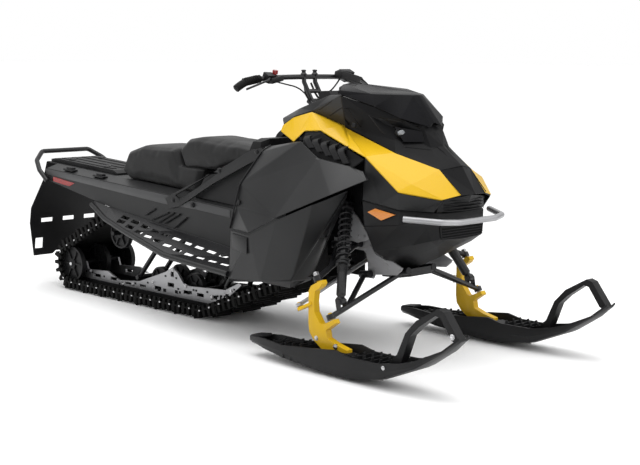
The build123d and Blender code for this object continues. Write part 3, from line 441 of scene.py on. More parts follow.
def addFold(mesh, recipe):
    # a crease from corner to corner of the coloured panels, pushed out between them
    start, end = Vector(recipe["from"]), Vector(recipe["to"])
    for side in (-1, 1):
        front = [face for face in mesh.faces
                 if face.calc_center_median().x > start.x and face.calc_center_median().y * side > 0]
        around = list({item for face in front for item in (*face.verts, *face.edges)})
        cut = bmesh.ops.bisect_plane(mesh, geom=front + around, dist=recipe["snap"], plane_co=start,
                                     plane_no=(end - start).cross(Vector((0, 1, 0))))["geom_cut"]
        for vert in vertsOf(cut):
            if start.x + recipe["clear"] < vert.co.x < end.x - recipe["clear"]:
                vert.co += Vector((recipe["proud"][0], recipe["proud"][1] * side, recipe["proud"][2]))


for node, recipe in panels.items():
    mesh = copyOf(node)
    if node == "hood_stripes":
        addFold(mesh, stripeFold)
    if node == "windshield":
        reshape(mesh, shield, shieldReach)
        for side in (-1, 1):        # the cheeks that close its rear corners
            plate(mesh, [(x, side * y, z) for x, y, z in shieldCheek["corners"]],
                  (0, -side * shieldCheek["wall"], 0))
    softFolds(mesh, recipe["fold"])
    dress(mesh, node + "Skin", recipe["finish"], bodyOf[node], [node], crease=24)
print("stage: panels softened")

# castings and skis: every corner eased
eased = {"spindle_right": 0.0025, "spindle_left": 0.0025, "ski_right": 0.0012, "ski_left": 0.0012,
         "front_module": 0.0008, "frame_struts": 0.0012, "cargo_plate": 0.002}
paintedHalf = 0.1           # half width of the painted casting between the front module's side plates
skis = {"middle": 0.457, "deckHalf": 0.025,
        "drop": [(0.474, 0.0), (0.576, 0.006), (0.700, 0.021), (0.880, 0.014), (1.000, 0.006),
                 (1.073, 0.021), (1.210, 0.015), (1.309, 0.006), (1.380, 0.004), (1.493, 0.004),
                 (1.556, 0.0)],
        "rim": [(0.474, 0.080), (0.576, 0.093), (0.700, 0.103), (0.880, 0.113), (1.000, 0.118),
                (1.073, 0.118), (1.210, 0.112), (1.309, 0.119), (1.380, 0.137), (1.493, 0.190),
                (1.556, 0.240)]}


def heightAt(table, x):
    # value of a table of (x, value) at a place between its rows
    for (x0, first), (x1, last) in zip(table, table[1:]):
        if x <= x1:
            return first + (last - first) * max(0.0, x - x0) / (x1 - x0)
    return table[-1][1]


for node, width in eased.items():
    mesh = copyOf(node)
    if node.startswith("ski_"):     # the side rims dip below the ribs of the deck
        for vert in mesh.verts:
            outside = abs(abs(vert.co.y) - skis["middle"]) > skis["deckHalf"]
            if outside and vert.co.z > heightAt(skis["rim"], vert.co.x) - 0.002:
                vert.co.z -= heightAt(skis["drop"], vert.co.x)
    roundAll(mesh, width)
    piece = dress(mesh, node + "Eased", finishOf[slotOf[node]], bodyOf[node], [node],
                  crease=24)
    if node == "front_module":      # the casting under the nose is painted, its side plates are bare
        piece.data.materials[0] = dullCasting
        piece.data.materials.append(blackCoat)
        for face in piece.data.polygons:
            face.material_index = int(abs(face.center.y) < paintedHalf)
print("stage: castings eased")


# shocks: damper bodies and true coil springs
def shockAbsorber(mesh, low, high, recipe):
    low, high = Vector(low), Vector(high)
    way = (high - low).normalized()
    length = (high - low).length
    base = placed(low, way)
    rod, body = recipe["rod"], recipe["body"]
    lathe(mesh, [(0, 0.0), (body * 0.7, 0.0), (body * 0.7, length * 0.04), (body, length * 0.06),
                 (body, length * 0.52), (body * 0.9, length * 0.54), (rod, length * 0.545), (rod, length),
                 (0, length)], base, 28)
    for level in (recipe["from"], 0.93):      # spring seats
        lathe(mesh, [(0, 0), (recipe["spring"] + 0.004, 0), (recipe["spring"] + 0.005, 0.003),
                     (recipe["spring"] + 0.004, 0.008), (0, 0.009)],
              base @ Matrix.Translation((0, 0, length * level)))
    for k in range(5):              # adjuster grooves
        lathe(mesh, [(0, 0), (body + 0.002, 0), (body + 0.002, 0.002), (0, 0.002)],
              base @ Matrix.Translation((0, 0, length * (recipe["from"] - 0.08) + 0.006 * k)))


def coil(mesh, low, high, recipe):
    low, high = Vector(low), Vector(high)
    span = (high - low).length
    start = span * (recipe["from"] + 0.02)
    rise = span * (0.90 - recipe["from"])
    section = Matrix.Translation((recipe["spring"], 0, start)) @ Matrix.Rotation(math.pi / 2, 4, "X")
    verts = bmesh.ops.create_circle(mesh, cap_ends=True, radius=recipe["wire"], segments=10,
                                    matrix=section)["verts"]
    edges = list({edge for vert in verts for edge in vert.link_edges})
    faces = list({face for vert in verts for face in vert.link_faces})
    steps = recipe["turns"] * 20
    bmesh.ops.spin(mesh, geom=verts + edges + faces, cent=(0, 0, 0), axis=(0, 0, 1),
                   dvec=(0, 0, rise / steps), angle=2 * math.pi * recipe["turns"], steps=steps)
    whole = list(connected(verts))
    bmesh.ops.transform(mesh, matrix=placed(low, high - low), verts=whole)
    outward(mesh, whole)


shocks = {"top": (0.748, -0.215, 0.620), "foot": (0.892, -0.392, 0.268), "rod": 0.0085, "body": 0.019,
          "spring": 0.0245, "wire": 0.0040, "turns": 9, "from": 0.36,
          "eye": 0.017, "eyeHalf": 0.014, "footBore": 0.0085, "topBore": 0.0105}
dampers, springs = bmesh.new(), bmesh.new()
for side in (1, -1):
    foot, top = ((x, side * y, z) for x, y, z in (shocks["foot"], shocks["top"]))
    shockAbsorber(dampers, foot, top, shocks)
    coil(springs, foot, top, shocks)
    for eye, bore in ((foot, shocks["footBore"]), (top, shocks["topBore"])):
        half, rim = shocks["eyeHalf"], shocks["eye"]
        lathe(dampers, [(bore, -half), (rim - 0.002, -half), (rim, 0.003 - half), (rim, half - 0.003),
                        (rim - 0.002, half), (bore, half), (bore, -half)], placed(eye, (0, 1, 0)))
dress(dampers, "frontDampers", blackCoat, "chassis", ["front_shocks"])
dress(springs, "frontSprings", blackCoat, "chassis")
trackShock = {"top": (-0.09, 0, 0.300), "foot": (-0.27, 0, 0.122), "rod": 0.009, "body": 0.020,
              "spring": 0.026, "wire": 0.004, "turns": 5, "from": 0.30, "pin": 0.009,
              "pinHalf": {"foot": 0.1, "top": 0.04}}
damper, spring = bmesh.new(), bmesh.new()
shockAbsorber(damper, trackShock["foot"], trackShock["top"], trackShock)
coil(spring, trackShock["foot"], trackShock["top"], trackShock)
for spot, half in trackShock["pinHalf"].items():
    lathe(damper, [(0, -half), (trackShock["pin"], -half), (trackShock["pin"], half), (0, half)],
          placed(trackShock[spot], (0, 1, 0)), 20)
dress(damper, "trackDamper", blackCoat, "chassis", ["skid_shock"])
dress(spring, "trackSpring", blackCoat, "chassis")
print("stage: shocks built")


# what stands behind the open wheel arch: a moulded shield and two bare castings
arch = {"shieldY": -0.178, "wall": 0.005, "footY": -0.147,
        "shield": [(0.560, 0.520), (0.560, 0.760), (0.640, 0.800), (0.800, 0.846), (0.893, 0.806),
                   (0.905, 0.640), (0.900, 0.560), (0.862, 0.600), (0.800, 0.520), (0.740, 0.470),
                   (0.640, 0.470)],
        "ribs": (0.62, 0.68, 0.74, 0.80), "ribFoot": 0.62, "ribTop": 0.78,
        "upperCasting": [(0.752, 0.590), (0.778, 0.572), (0.850, 0.490), (0.838, 0.478), (0.782, 0.462),
                         (0.742, 0.470)],
        "bolts": [(0.790, 0.490), (0.824, 0.492)],
        "footCasting": [(0.797, 0.427), (0.824, 0.454), (0.852, 0.421), (0.906, 0.403), (0.944, 0.401),
                        (0.996, 0.380), (0.988, 0.367), (0.964, 0.348), (0.886, 0.341), (0.846, 0.336),
                        (0.853, 0.364), (0.809, 0.391)],
        "footBoss": (0.915, 0.376)}
outside = arch["shieldY"] - 0.003
mesh = bmesh.new()
plate(mesh, [(x, arch["shieldY"], z) for x, z in arch["shield"]], (0, arch["wall"], 0), 0.0015)
for x in arch["ribs"]:
    strip(mesh, [(x, outside, arch["ribFoot"]), (x + 0.02, outside, arch["ribTop"])], (0, -0.006, 0), 0.003)
bothSides(mesh)
dress(mesh, "archShields", grilleBlack, "chassis")
mesh = bmesh.new()
plate(mesh, [(x, outside, z) for x, z in arch["upperCasting"]], (0, -0.008, 0), 0.002)
for x, z in arch["bolts"]:
    boltAt(mesh, (x, outside - 0.008, z), (0, -1, 0), 0.006, 0.005)
bothSides(mesh)
dress(mesh, "archCastings", dullCasting, "chassis")
mesh = bmesh.new()
plate(mesh, [(x, arch["footY"], z) for x, z in arch["footCasting"]], (0, -0.009, 0), 0.0018)
lathe(mesh, [(0, -0.004), (0.013, -0.004), (0.013, 0.0015), (0.011, 0.003), (0, 0.003)],
      placed((arch["footBoss"][0], arch["footY"] - 0.009, arch["footBoss"][1]), (0, -1, 0)), 28)
bothSides(mesh)
dress(mesh, "footCastings", dullCasting, "chassis")
print("stage: arch pieces made")

# slanted fins in the openings under the yellow stripes
fins = {"count": 5, "thick": 0.030, "proud": 0.014, "wall": 0.009,
        "top": [(0.545, -0.243, 0.889), (0.792, -0.254, 0.842)],
        "foot": [(0.585, -0.279, 0.838), (0.832, -0.284, 0.774)], "lipY": -0.2345,
        "lip": [(0.494, 0.862), (0.500, 0.885), (0.535, 0.906), (0.625, 0.908), (0.665, 0.860)]}
mesh = bmesh.new()
for k in range(fins["count"]):
    share = (k + 0.2) / fins["count"]
    head = Vector(fins["top"][0]).lerp(Vector(fins["top"][1]), share)
    foot = Vector(fins["foot"][0]).lerp(Vector(fins["foot"][1]), share)
    waist = head.lerp(foot, 0.45) + Vector((-0.012, -fins["proud"], 0.004))
    path = [head + Vector((0.006, 0.004, 0)), head.lerp(waist, 0.5) + Vector((-0.006, -0.004, 0)), waist,
            waist.lerp(foot, 0.6), foot]
    strip(mesh, path, (fins["thick"], 0.002, 0.004), fins["wall"])
plate(mesh, [(x, fins["lipY"], z) for x, z in fins["lip"]], (0, 0.004, 0), 0.001)
bothSides(mesh)
dress(mesh, "ventFins", plasticBlack, "chassis", crease=40)

# headlamps: a wide projector in its ring behind each smoked lens, and fine brows round it
lamp = {"brows": [[(0.8227, -0.1702, 0.9726), (0.8621, -0.1489, 0.9559), (0.9048, -0.1376, 0.9572),
                   (0.9437, -0.1106, 0.9482)],
                  [(0.8227, -0.1702, 0.9726), (0.8707, -0.1516, 0.9112), (0.9697, -0.1201, 0.8524)],
                  [(0.8621, -0.1489, 0.9559), (0.8774, -0.1304, 0.9383), (0.9160, -0.1290, 0.9310)]],
        "brow": 0.0022, "at": (0.948, -0.114, 0.907), "aim": (0.86, -0.5, 0.12), "radius": 0.0135,
        "wide": 1.6}
mesh, glass = bmesh.new(), bmesh.new()
where = placed(lamp["at"], lamp["aim"]) @ Matrix.Diagonal((lamp["wide"], 1, 1, 1))
ring = lamp["radius"]
lathe(mesh, [(ring * 0.8, -0.012), (ring * 1.22, -0.012), (ring * 1.3, 0.002), (ring * 1.16, 0.006),
             (ring * 0.95, 0.002), (ring * 0.8, -0.012)], where, 36)
lathe(glass, [(0, -0.006), (ring * 0.95, -0.006), (ring * 0.93, 0.001), (ring * 0.7, 0.006),
              (ring * 0.35, 0.0085), (0, 0.009)], where, 36)
for path in lamp["brows"]:
    tubeInto(mesh, path, lamp["brow"], order=2, sides=2)
bothSides(mesh)
bothSides(glass)
dress(mesh, "lampRings", plasticBlack, "chassis")
dress(glass, "lampProjectors", lampLens, "chassis")

# nose: dark sheets behind both grilles, painted shade of the nose's inside
nose = {"back": [(1.148, -0.138, 0.654), (1.168, -0.098, 0.663), (1.190, 0.0, 0.674), (1.168, 0.098, 0.663),
                 (1.148, 0.138, 0.654)],
        "drop": 0.050, "slats": (0.6175, 0.6305, 0.6435, 0.656),
        "slat": [(1.146, -0.136), (1.171, -0.094), (1.183, 0.0), (1.171, 0.094), (1.146, 0.136)],
        "inner": [(0.96, -0.19), (1.10, -0.13), (1.136, 0), (1.10, 0.13), (0.96, 0.19)], "innerFoot": 0.590,
        "rake": 0.15, "lowX": 1.1625, "lowTop": 0.558, "lowFoot": 0.508, "lowHalf": 0.128, "lowSlats": 5}
mesh = bmesh.new()
strip(mesh, nose["back"], (-0.012, 0, -nose["drop"]), 0.003)
strip(mesh, [(x, y, nose["innerFoot"]) for x, y in nose["inner"]], (0, 0, nose["drop"]), 0.003)
half, top, foot = nose["lowHalf"], nose["lowTop"], nose["lowFoot"]
plate(mesh, [(nose["lowX"], y, z)
             for y, z in ((-half, top), (half, top), (half - 0.006, foot), (0, foot - 0.004),
                          (0.006 - half, foot))], (0.0015, 0, 0))
dress(mesh, "grilleShadowBacking", grilleBlack, "chassis")

# firewall behind the side panels, and the dark lining under the coloured panels
firewall = {"x": 0.598, "thick": 0.003, "section": [
    (-0.172, 0.31), (-0.26, 0.31), (-0.368, 0.316), (-0.390, 0.33), (-0.407, 0.555), (-0.410, 0.573),
    (-0.356, 0.662), (-0.285, 0.785), (-0.235, 0.835), (-0.172, 0.845)]}
lining = {"gap": 0.0012, "wall": 0.001, "inward": -0.3}
mesh = bmesh.new()
plate(mesh, [(firewall["x"], y, z) for y, z in firewall["section"]], (firewall["thick"], 0, 0))
bothSides(mesh)
dress(mesh, "firewall", grilleBlack, "chassis")
mesh = copyOf("hood_stripes")
shown = []
for face in mesh.faces:
    side = math.copysign(1, face.calc_center_median().y)
    if side * face.normal.y + face.normal.z > lining["inward"]:
        shown.append(face)
bmesh.ops.delete(mesh, geom=shown, context="FACES")
for vert in mesh.verts:
    vert.co += Vector((0, -math.copysign(lining["gap"], vert.co.y), -lining["gap"]))
bmesh.ops.solidify(mesh, geom=mesh.faces[:], thickness=lining["wall"])
dress(mesh, "stripeLining", grilleBlack, "chassis")

# slats in both grilles of the nose, with a frame round the lower one
mesh = bmesh.new()
for z in nose["slats"]:
    back = (nose["innerFoot"] + 0.070 - z) * nose["rake"]
    strip(mesh, [(x - back, y, z) for x, y in nose["slat"]], (0.016, 0, 0.001), 0.0035)
for k in range(nose["lowSlats"]):
    z = foot + 0.005 + k * 0.010
    strip(mesh, [(nose["lowX"] + 0.001, y, z) for y in (0.004 - half, half - 0.004)], (0.006, 0, 0.001),
          0.003)
rim = [(-half, top), (half, top), (half - 0.006, foot), (0, foot - 0.006), (0.006 - half, foot),
       (-half, top)]
tubeInto(mesh, [(nose["lowX"] + 0.002, y, z) for y, z in rim], 0.003, order=2)
dress(mesh, "grilleSlats", plasticBlack, "chassis")

# side markers: orange lenses that follow the cheek
marker = {"corners": [(0.924, -0.281, 0.606), (0.957, -0.2735, 0.622), (1.041, -0.2505, 0.603),
                      (0.983, -0.2665, 0.577)],
          "sink": (0.0, 0.006, 0.0), "proud": (0.0, -0.0015, 0.0)}
mesh = bmesh.new()
plate(mesh, [Vector(corner) + Vector(marker["proud"]) for corner in marker["corners"]], marker["sink"],
      0.0012)
bothSides(mesh)
dress(mesh, "sideMarkers", orangeLens, "chassis", ["front_reflectors"])
print("stage: nose and lamps made")

# panel joints: fine dark tubes along the joints between and across the panels, painted shadow of their
# grooves
seamShadows = {"wide": 0.0016,
         "paths": [[(0.903, -0.291, 0.649), (0.979, -0.273, 0.635), (1.050, -0.249, 0.619),
                    (1.113, -0.194, 0.613), (1.150, -0.150, 0.610)],
                   [(0.905, -0.277, 0.547), (1.055, -0.252, 0.563), (1.092, -0.205, 0.580),
                    (1.105, -0.197, 0.606)], [(1.124, -0.091, 0.770), (1.160, 0.0, 0.785)],
                   [(1.124, -0.091, 0.770), (1.219, -0.076, 0.684)],
                   [(0.6021, -0.166, 0.9614), (0.6811, -0.1811, 0.9959), (0.728, -0.190, 0.992),
                    (0.771, -0.1925, 0.951), (0.7681, -0.1594, 0.9223)],
                   [(0.5425, -0.1682, 0.9824), (0.6281, -0.1847, 1.0203)],
                   [(1.0244, -0.0061, 0.9052), (1.0535, -0.0288, 0.854), (1.0878, -0.0188, 0.8309),
                    (1.1503, -0.038, 0.7699)],
                   [(0.9697, -0.1201, 0.8524), (1.0518, -0.0605, 0.8425), (1.0535, -0.0288, 0.854)]]}
mesh = bmesh.new()
for path in seamShadows["paths"]:
    tubeInto(mesh, path, seamShadows["wide"], order=2, sides=1)
bothSides(mesh)
dress(mesh, "panelSeamShadows", grilleBlack, "chassis")

# trims on the side panels: a raised badge field, an edge bead and quarter-turn fasteners
trims = {"field": [(0.268, -0.4045, 0.468), (0.383, -0.4245, 0.462), (0.383, -0.4245, 0.396),
                   (0.268, -0.4045, 0.404)],
         "bead": [(0.319, -0.232, 0.828), (0.330, -0.292, 0.808), (0.293, -0.382, 0.674),
                  (0.284, -0.402, 0.583), (0.252, -0.402, 0.488)],
         "fasteners": [((0.304, -0.398, 0.600), (-0.1, -1, 0)),
                       ((0.762, -0.193, 0.930), (0.1, -0.98, 0.15))]}
mesh = bmesh.new()
plate(mesh, trims["field"], (0, 0.006, 0), 0.0008)
bothSides(mesh)
dress(mesh, "badgeFields", panelDark, "chassis")
mesh = bmesh.new()
tubeInto(mesh, trims["bead"], 0.004, order=2)
for at, along in trims["fasteners"]:
    lathe(mesh, [(0, -0.004), (0.010, -0.004), (0.010, 0.002), (0.008, 0.0035), (0, 0.0035)],
          placed(at, along), 24)
bothSides(mesh)
dress(mesh, "panelTrims", plasticBlack, "chassis")
print("stage: seams and trims made")

# track: extra knobs between the lug rows, teeth and steel clips along the belt's edges
loop = {"rear": (-1.250, 0.136, 0.089), "upper": (-0.884, 0.329, 0.0783), "drive": (0.296, 0.330, 0.0863),
        "floor": 0.047, "ramp": -0.201, "belt": 0.006}


def outerTangent(first, second):
    # tangent over two wheels given as x, z and radius
    dx, dz = second[0] - first[0], second[1] - first[1]
    side = math.atan2(dz, dx) + math.asin((first[2] - second[2]) / math.hypot(dx, dz)) + math.pi / 2
    return [(x + r * math.cos(side), z + r * math.sin(side)) for x, z, r in (first, second)]


def arcBetween(centre, start, end, steps=16):
    # points on a wheel, clockwise seen from the machine's right
    first = math.atan2(start[1] - centre[1], start[0] - centre[0])
    last = math.atan2(end[1] - centre[1], end[0] - centre[0])
    while last > first:
        last -= 2 * math.pi
    radius = math.hypot(start[0] - centre[0], start[1] - centre[1])
    angles = [first + (last - first) * k / steps for k in range(steps + 1)]
    return [(centre[0] + radius * math.cos(a), centre[1] + radius * math.sin(a)) for a in angles]


def trackLine(grow):
    # closed line of the belt's inner face, moved outwards
    rear, upper, drive = ((x, z, r + grow) for x, z, r in (loop["rear"], loop["upper"], loop["drive"]))
    floor = loop["floor"] - grow
    first, second = outerTangent(rear, upper)
    third, fourth = outerTangent(upper, drive)
    dx, dz = drive[0] - loop["ramp"], drive[1] - floor
    slope = math.atan2(dz, dx) - math.asin(drive[2] / math.hypot(dx, dz))
    under = (drive[0] + drive[2] * math.sin(slope), drive[1] - drive[2] * math.cos(slope))
    line = [first] + arcBetween(upper, second, third) + arcBetween(drive, fourth, under)
    line += [(loop["ramp"], floor), (rear[0], floor)]
    return line + arcBetween(rear, (rear[0], rear[1] - rear[2]), first)


def alongTrack(grow, count, shift=0.0):
    # evenly spaced places on the belt, each a matrix with X along it and Z outwards
    line = trackLine(grow)
    runs = [math.dist(a, b) for a, b in zip(line, line[1:])]
    pitch = sum(runs) / count
    places, passed, k = [], 0.0, 0
    for (a, b), run in zip(zip(line, line[1:]), runs):
        while k < count and (k + shift) * pitch <= passed + run:
            share = ((k + shift) * pitch - passed) / run if run else 0
            x, z = a[0] + share * (b[0] - a[0]), a[1] + share * (b[1] - a[1])
            turn = math.atan2(b[1] - a[1], b[0] - a[0])
            places.append(Matrix.Translation((x, 0, z)) @ Matrix.Rotation(-turn, 4, "Y"))
            k += 1
        passed += run
    return places


def wedgeAt(mesh, where, length, width, height, taper):
    # tapered rubber block that stands on local Z
    cube = bmesh.ops.create_cube(mesh, size=1.0, matrix=Matrix.Translation((0, 0, 0.5)))
    for vert in cube["verts"]:
        if vert.co.z > 0.5:
            vert.co.x *= taper
    bmesh.ops.transform(mesh, matrix=where @ Matrix.Diagonal((length, width, height, 1)),
                        verts=cube["verts"])


knobs = {       # per kind: rows on the belt, places across it, size along, across and outwards
    "middle": {"rows": 51, "shift": 0.5, "across": (-0.090, 0.0, 0.090), "taper": 0.6,
               "size": (0.014, 0.034, 0.024)},
    "edge": {"rows": 102, "shift": 0.25, "across": (-0.169, 0.169), "taper": 0.72,
             "size": (0.021, 0.038, 0.033)},
    "inside": {"rows": 102, "shift": 0.25, "across": (-0.180, 0.180), "taper": 0.7,
               "size": (0.022, 0.016, 0.017)}}
clip = {"rows": 51, "shift": 0.5, "blocks": [((0.010, 0.002, 0.007), 0.1905, 0.003),
                                             ((0.018, 0.022, 0.002), 0.150, -0.0012)]}
rubber, clips = bmesh.new(), bmesh.new()
for kind, knob in knobs.items():
    inside = kind == "inside"       # these teeth point into the loop
    seat = Matrix.Rotation(math.pi if inside else 0.0, 4, "X") @ Matrix.Translation((0, 0, -0.001))
    for where in alongTrack(0.0 if inside else loop["belt"], knob["rows"], knob["shift"]):
        for y in knob["across"]:
            wedgeAt(rubber, where @ Matrix.Translation((0, y, 0)) @ seat, *knob["size"], knob["taper"])
for where in alongTrack(0.0, clip["rows"], clip["shift"]):
    for side in (-1, 1):
        for size, y, z in clip["blocks"]:
            blockAt(clips, size, where @ Matrix.Translation((0, side * y, z)), 0.0006)
dress(rubber, "trackKnobs", trackRubber, bodyOf["track"])
dress(clips, "trackClips", brightSteel, bodyOf["track"])

# slide rails: dark patches where their holes are (painted shade of the holes), bolts and the spokes of the
# wheels
rail = {"face": 0.1052,
        "squares": [(-1.240, 0.094), (-1.215, 0.094), (-1.160, 0.096), (-1.060, 0.086), (-0.930, 0.066),
                    (-0.905, 0.072), (-0.800, 0.084), (-0.700, 0.100), (-0.560, 0.150), (-0.478, 0.150),
                    (-0.464, 0.100), (-0.350, 0.110), (-0.250, 0.114), (-0.330, 0.110), (-0.175, 0.104),
                    (-0.150, 0.108), (-0.060, 0.150)],
        "windows": [(-0.612, 0.078, 0.022, 0.016), (-0.568, 0.080, 0.022, 0.016),
                    (-0.478, 0.084, 0.022, 0.016), (-0.452, 0.085, 0.014, 0.012),
                    (-0.376, 0.095, 0.026, 0.014), (-0.217, 0.092, 0.014, 0.020),
                    (-0.186, 0.096, 0.014, 0.020), (-0.155, 0.101, 0.013, 0.019),
                    (-0.128, 0.106, 0.012, 0.017)],
        "bolts": [(-1.292, 0.128), (-1.300, 0.105), (-1.180, 0.100), (-0.903, 0.066), (-0.820, 0.076),
                  (-0.659, 0.108), (-0.503, 0.189), (-0.406, 0.121), (-0.217, 0.095), (-0.080, 0.140)]}
holeShadows, bolts = bmesh.new(), bmesh.new()
for x, z in rail["squares"]:
    blockAt(holeShadows, (0.013, 0.0008, 0.009), Matrix.Translation((x, -rail["face"], z)))
for x, z, width, height in rail["windows"]:
    blockAt(holeShadows, (width, 0.0008, height), Matrix.Translation((x, -rail["face"], z)), 0.0002)
for x, z in rail["bolts"]:
    boltAt(bolts, (x, -rail["face"], z), (0, -1, 0), 0.007, 0.005)
bothSides(holeShadows)
bothSides(bolts)
dress(holeShadows, "railHoleShadows", grilleBlack, "chassis")

hubs = {"half": 0.0055, "spokes": 6,
        "rows": [(-1.250, 0.136, (-0.155, 0.0, 0.155), 0.089), (-0.646, 0.114, (-0.060, 0.060), 0.067),
                 (-0.387, 0.114, (-0.060, 0.060), 0.067), (-0.884, 0.329, (-0.120, 0.120), 0.078)]}
spokes = bmesh.new()
for x, z, ys, radius in hubs["rows"]:
    for y in ys:
        for way in (-1, 1):
            face = placed((x, y + way * hubs["half"], z), (0, way, 0))
            for k in range(hubs["spokes"]):
                turn = face @ Matrix.Rotation(k * 2 * math.pi / hubs["spokes"], 4, "Z")
                blockAt(spokes, (radius - 0.034, 0.008, 0.009),
                        turn @ Matrix.Translation(((radius + 0.012) / 2, 0, 0.003)), 0.0015)
            lathe(spokes, [(0.012, 0), (0.026, 0), (0.026, 0.008), (0.022, 0.010), (0.012, 0.010)], face,
                  28)
            lathe(bolts, [(0, 0.004), (0.010, 0.004), (0.010, 0.016), (0.008, 0.018), (0, 0.018)], face, 6)
dress(spokes, "wheelSpokes", plasticBlack, "chassis")
dress(bolts, "railBolts", brightSteel, "chassis")
print("stage: track and rails detailed")


deck = {"rearX": -1.489, "frontX": 0.450, "rearZ": 0.626, "frontZ": 0.513, "rise": 0.041}


def deckTop(x):
    # height of the cargo plate's upper face
    share = (x - deck["rearX"]) / (deck["frontX"] - deck["rearX"])
    return deck["rearZ"] + share * (deck["frontZ"] - deck["rearZ"]) + deck["rise"]


# tunnel: louvres, strut fasteners, painted highlight bands on its shoulders, deck clips and cargo anchors
tunnel = {"side": -0.2165,
          "louvres": [((-0.562, 0.458), (-0.490, 0.492)), ((-0.510, 0.440), (-0.391, 0.484)),
                      ((-0.462, 0.432), (-0.350, 0.486)), ((-0.417, 0.428), (-0.306, 0.481)),
                      ((-0.343, 0.416), (-0.256, 0.470))],
          "strutY": -0.2272,
          "strutBolts": [(-0.344, 0.543), (-0.208, 0.532), (0.226, 0.796), (-0.020, 0.700)]}
mesh = bmesh.new()
for low, high in tunnel["louvres"]:
    strip(mesh, [(low[0], tunnel["side"], low[1]), (high[0], tunnel["side"], high[1])],
          (0.004, -0.008, -0.004), 0.004)
bothSides(mesh)
dress(mesh, "tunnelLouvres", tunnelCoat, "chassis")
mesh = bmesh.new()
for x, z in tunnel["strutBolts"]:
    boltAt(mesh, (x, tunnel["strutY"], z), (0, -1, 0), 0.009, 0.006)
bothSides(mesh)
dress(mesh, "strutBolts", blackCoat, "chassis")
# pale band along the top of each tunnel side: painted highlight where the shoulder catches the light from
# above
shoulder = {"side": -0.2156, "proud": 0.0014,
            "band": [(-1.400, 0.617), (-0.862, 0.5855), (-0.426, 0.5605), (-0.170, 0.5450), (0.040, 0.530),
                     (0.040, 0.4965), (-0.190, 0.512), (-0.434, 0.5186), (-0.847, 0.5491), (-1.400, 0.590)]}
deckClips = {"at": [(-1.2117, -0.194, 0.6157), (-0.9562, -0.194, 0.6010)], "slope": 0.0583,
             "ribs": (-0.090, -0.030), "ribHalf": 0.014, "ribFrom": -1.42, "ribTo": -0.98}
mesh = bmesh.new()
plate(mesh, [(x, shoulder["side"], z) for x, z in shoulder["band"]], (0, -shoulder["proud"], 0), 0.0005)
bothSides(mesh)
dress(mesh, "shoulderHighlightBands", shoulderHighlight, "chassis")
mesh = bmesh.new()
for at in deckClips["at"]:
    seat = Matrix.Translation(at) @ Matrix.Rotation(deckClips["slope"], 4, "Y")
    blockAt(mesh, (0.086, 0.034, 0.010), seat @ Matrix.Translation((0, 0, 0.006)), 0.004)
    blockAt(mesh, (0.050, 0.026, 0.012), seat @ Matrix.Translation((0.006, 0, 0.015)), 0.005)
for y in deckClips["ribs"]:
    start, end, half = deckClips["ribFrom"], deckClips["ribTo"], deckClips["ribHalf"]
    plate(mesh, [(x, y + across, deckTop(x) - 0.002) for x, across in (
        (start, -half), (end, -half), (end, half), (start, half))], (0, 0, 0.005), 0.0018)
bothSides(mesh)
dress(mesh, "deckClips", plasticBlack, "chassis")
anchors = {"x": -1.190, "pitchX": 0.300, "pitchY": 0.180, "ring": 0.020, "bore": 0.0095, "lean": 0.058}
mesh = bmesh.new()
for x in (anchors["x"] - anchors["pitchX"] / 2, anchors["x"] + anchors["pitchX"] / 2):
    ring, bore = anchors["ring"], anchors["bore"]
    lathe(mesh, [(bore, 0), (ring, 0), (ring, 0.004), (ring - 0.004, 0.009), (0.012, 0.009), (bore, 0.006),
                 (bore, 0)], placed((x, -anchors["pitchY"] / 2, deckTop(x)), (anchors["lean"], 0, 1)), 32)
bothSides(mesh)
dress(mesh, "cargoAnchors", blackCoat, "chassis")
print("stage: tunnel detailed")

# running boards: the rolled edge stands out from the dark grip plates
boards = {"edge": [(-0.976, -0.232, 0.470), (-0.828, -0.262, 0.415), (-0.614, -0.302, 0.376),
                   (-0.212, -0.380, 0.316), (0.236, -0.400, 0.292)],
          "radius": 0.0128}
frame["nodes"]["running_boards"].data.materials[0] = blackCoat
mesh = bmesh.new()
tubeInto(mesh, boards["edge"], boards["radius"], order=2, sides=4)
bothSides(mesh)
dress(mesh, "boardEdges", tunnelCoat, "chassis", crease=50)

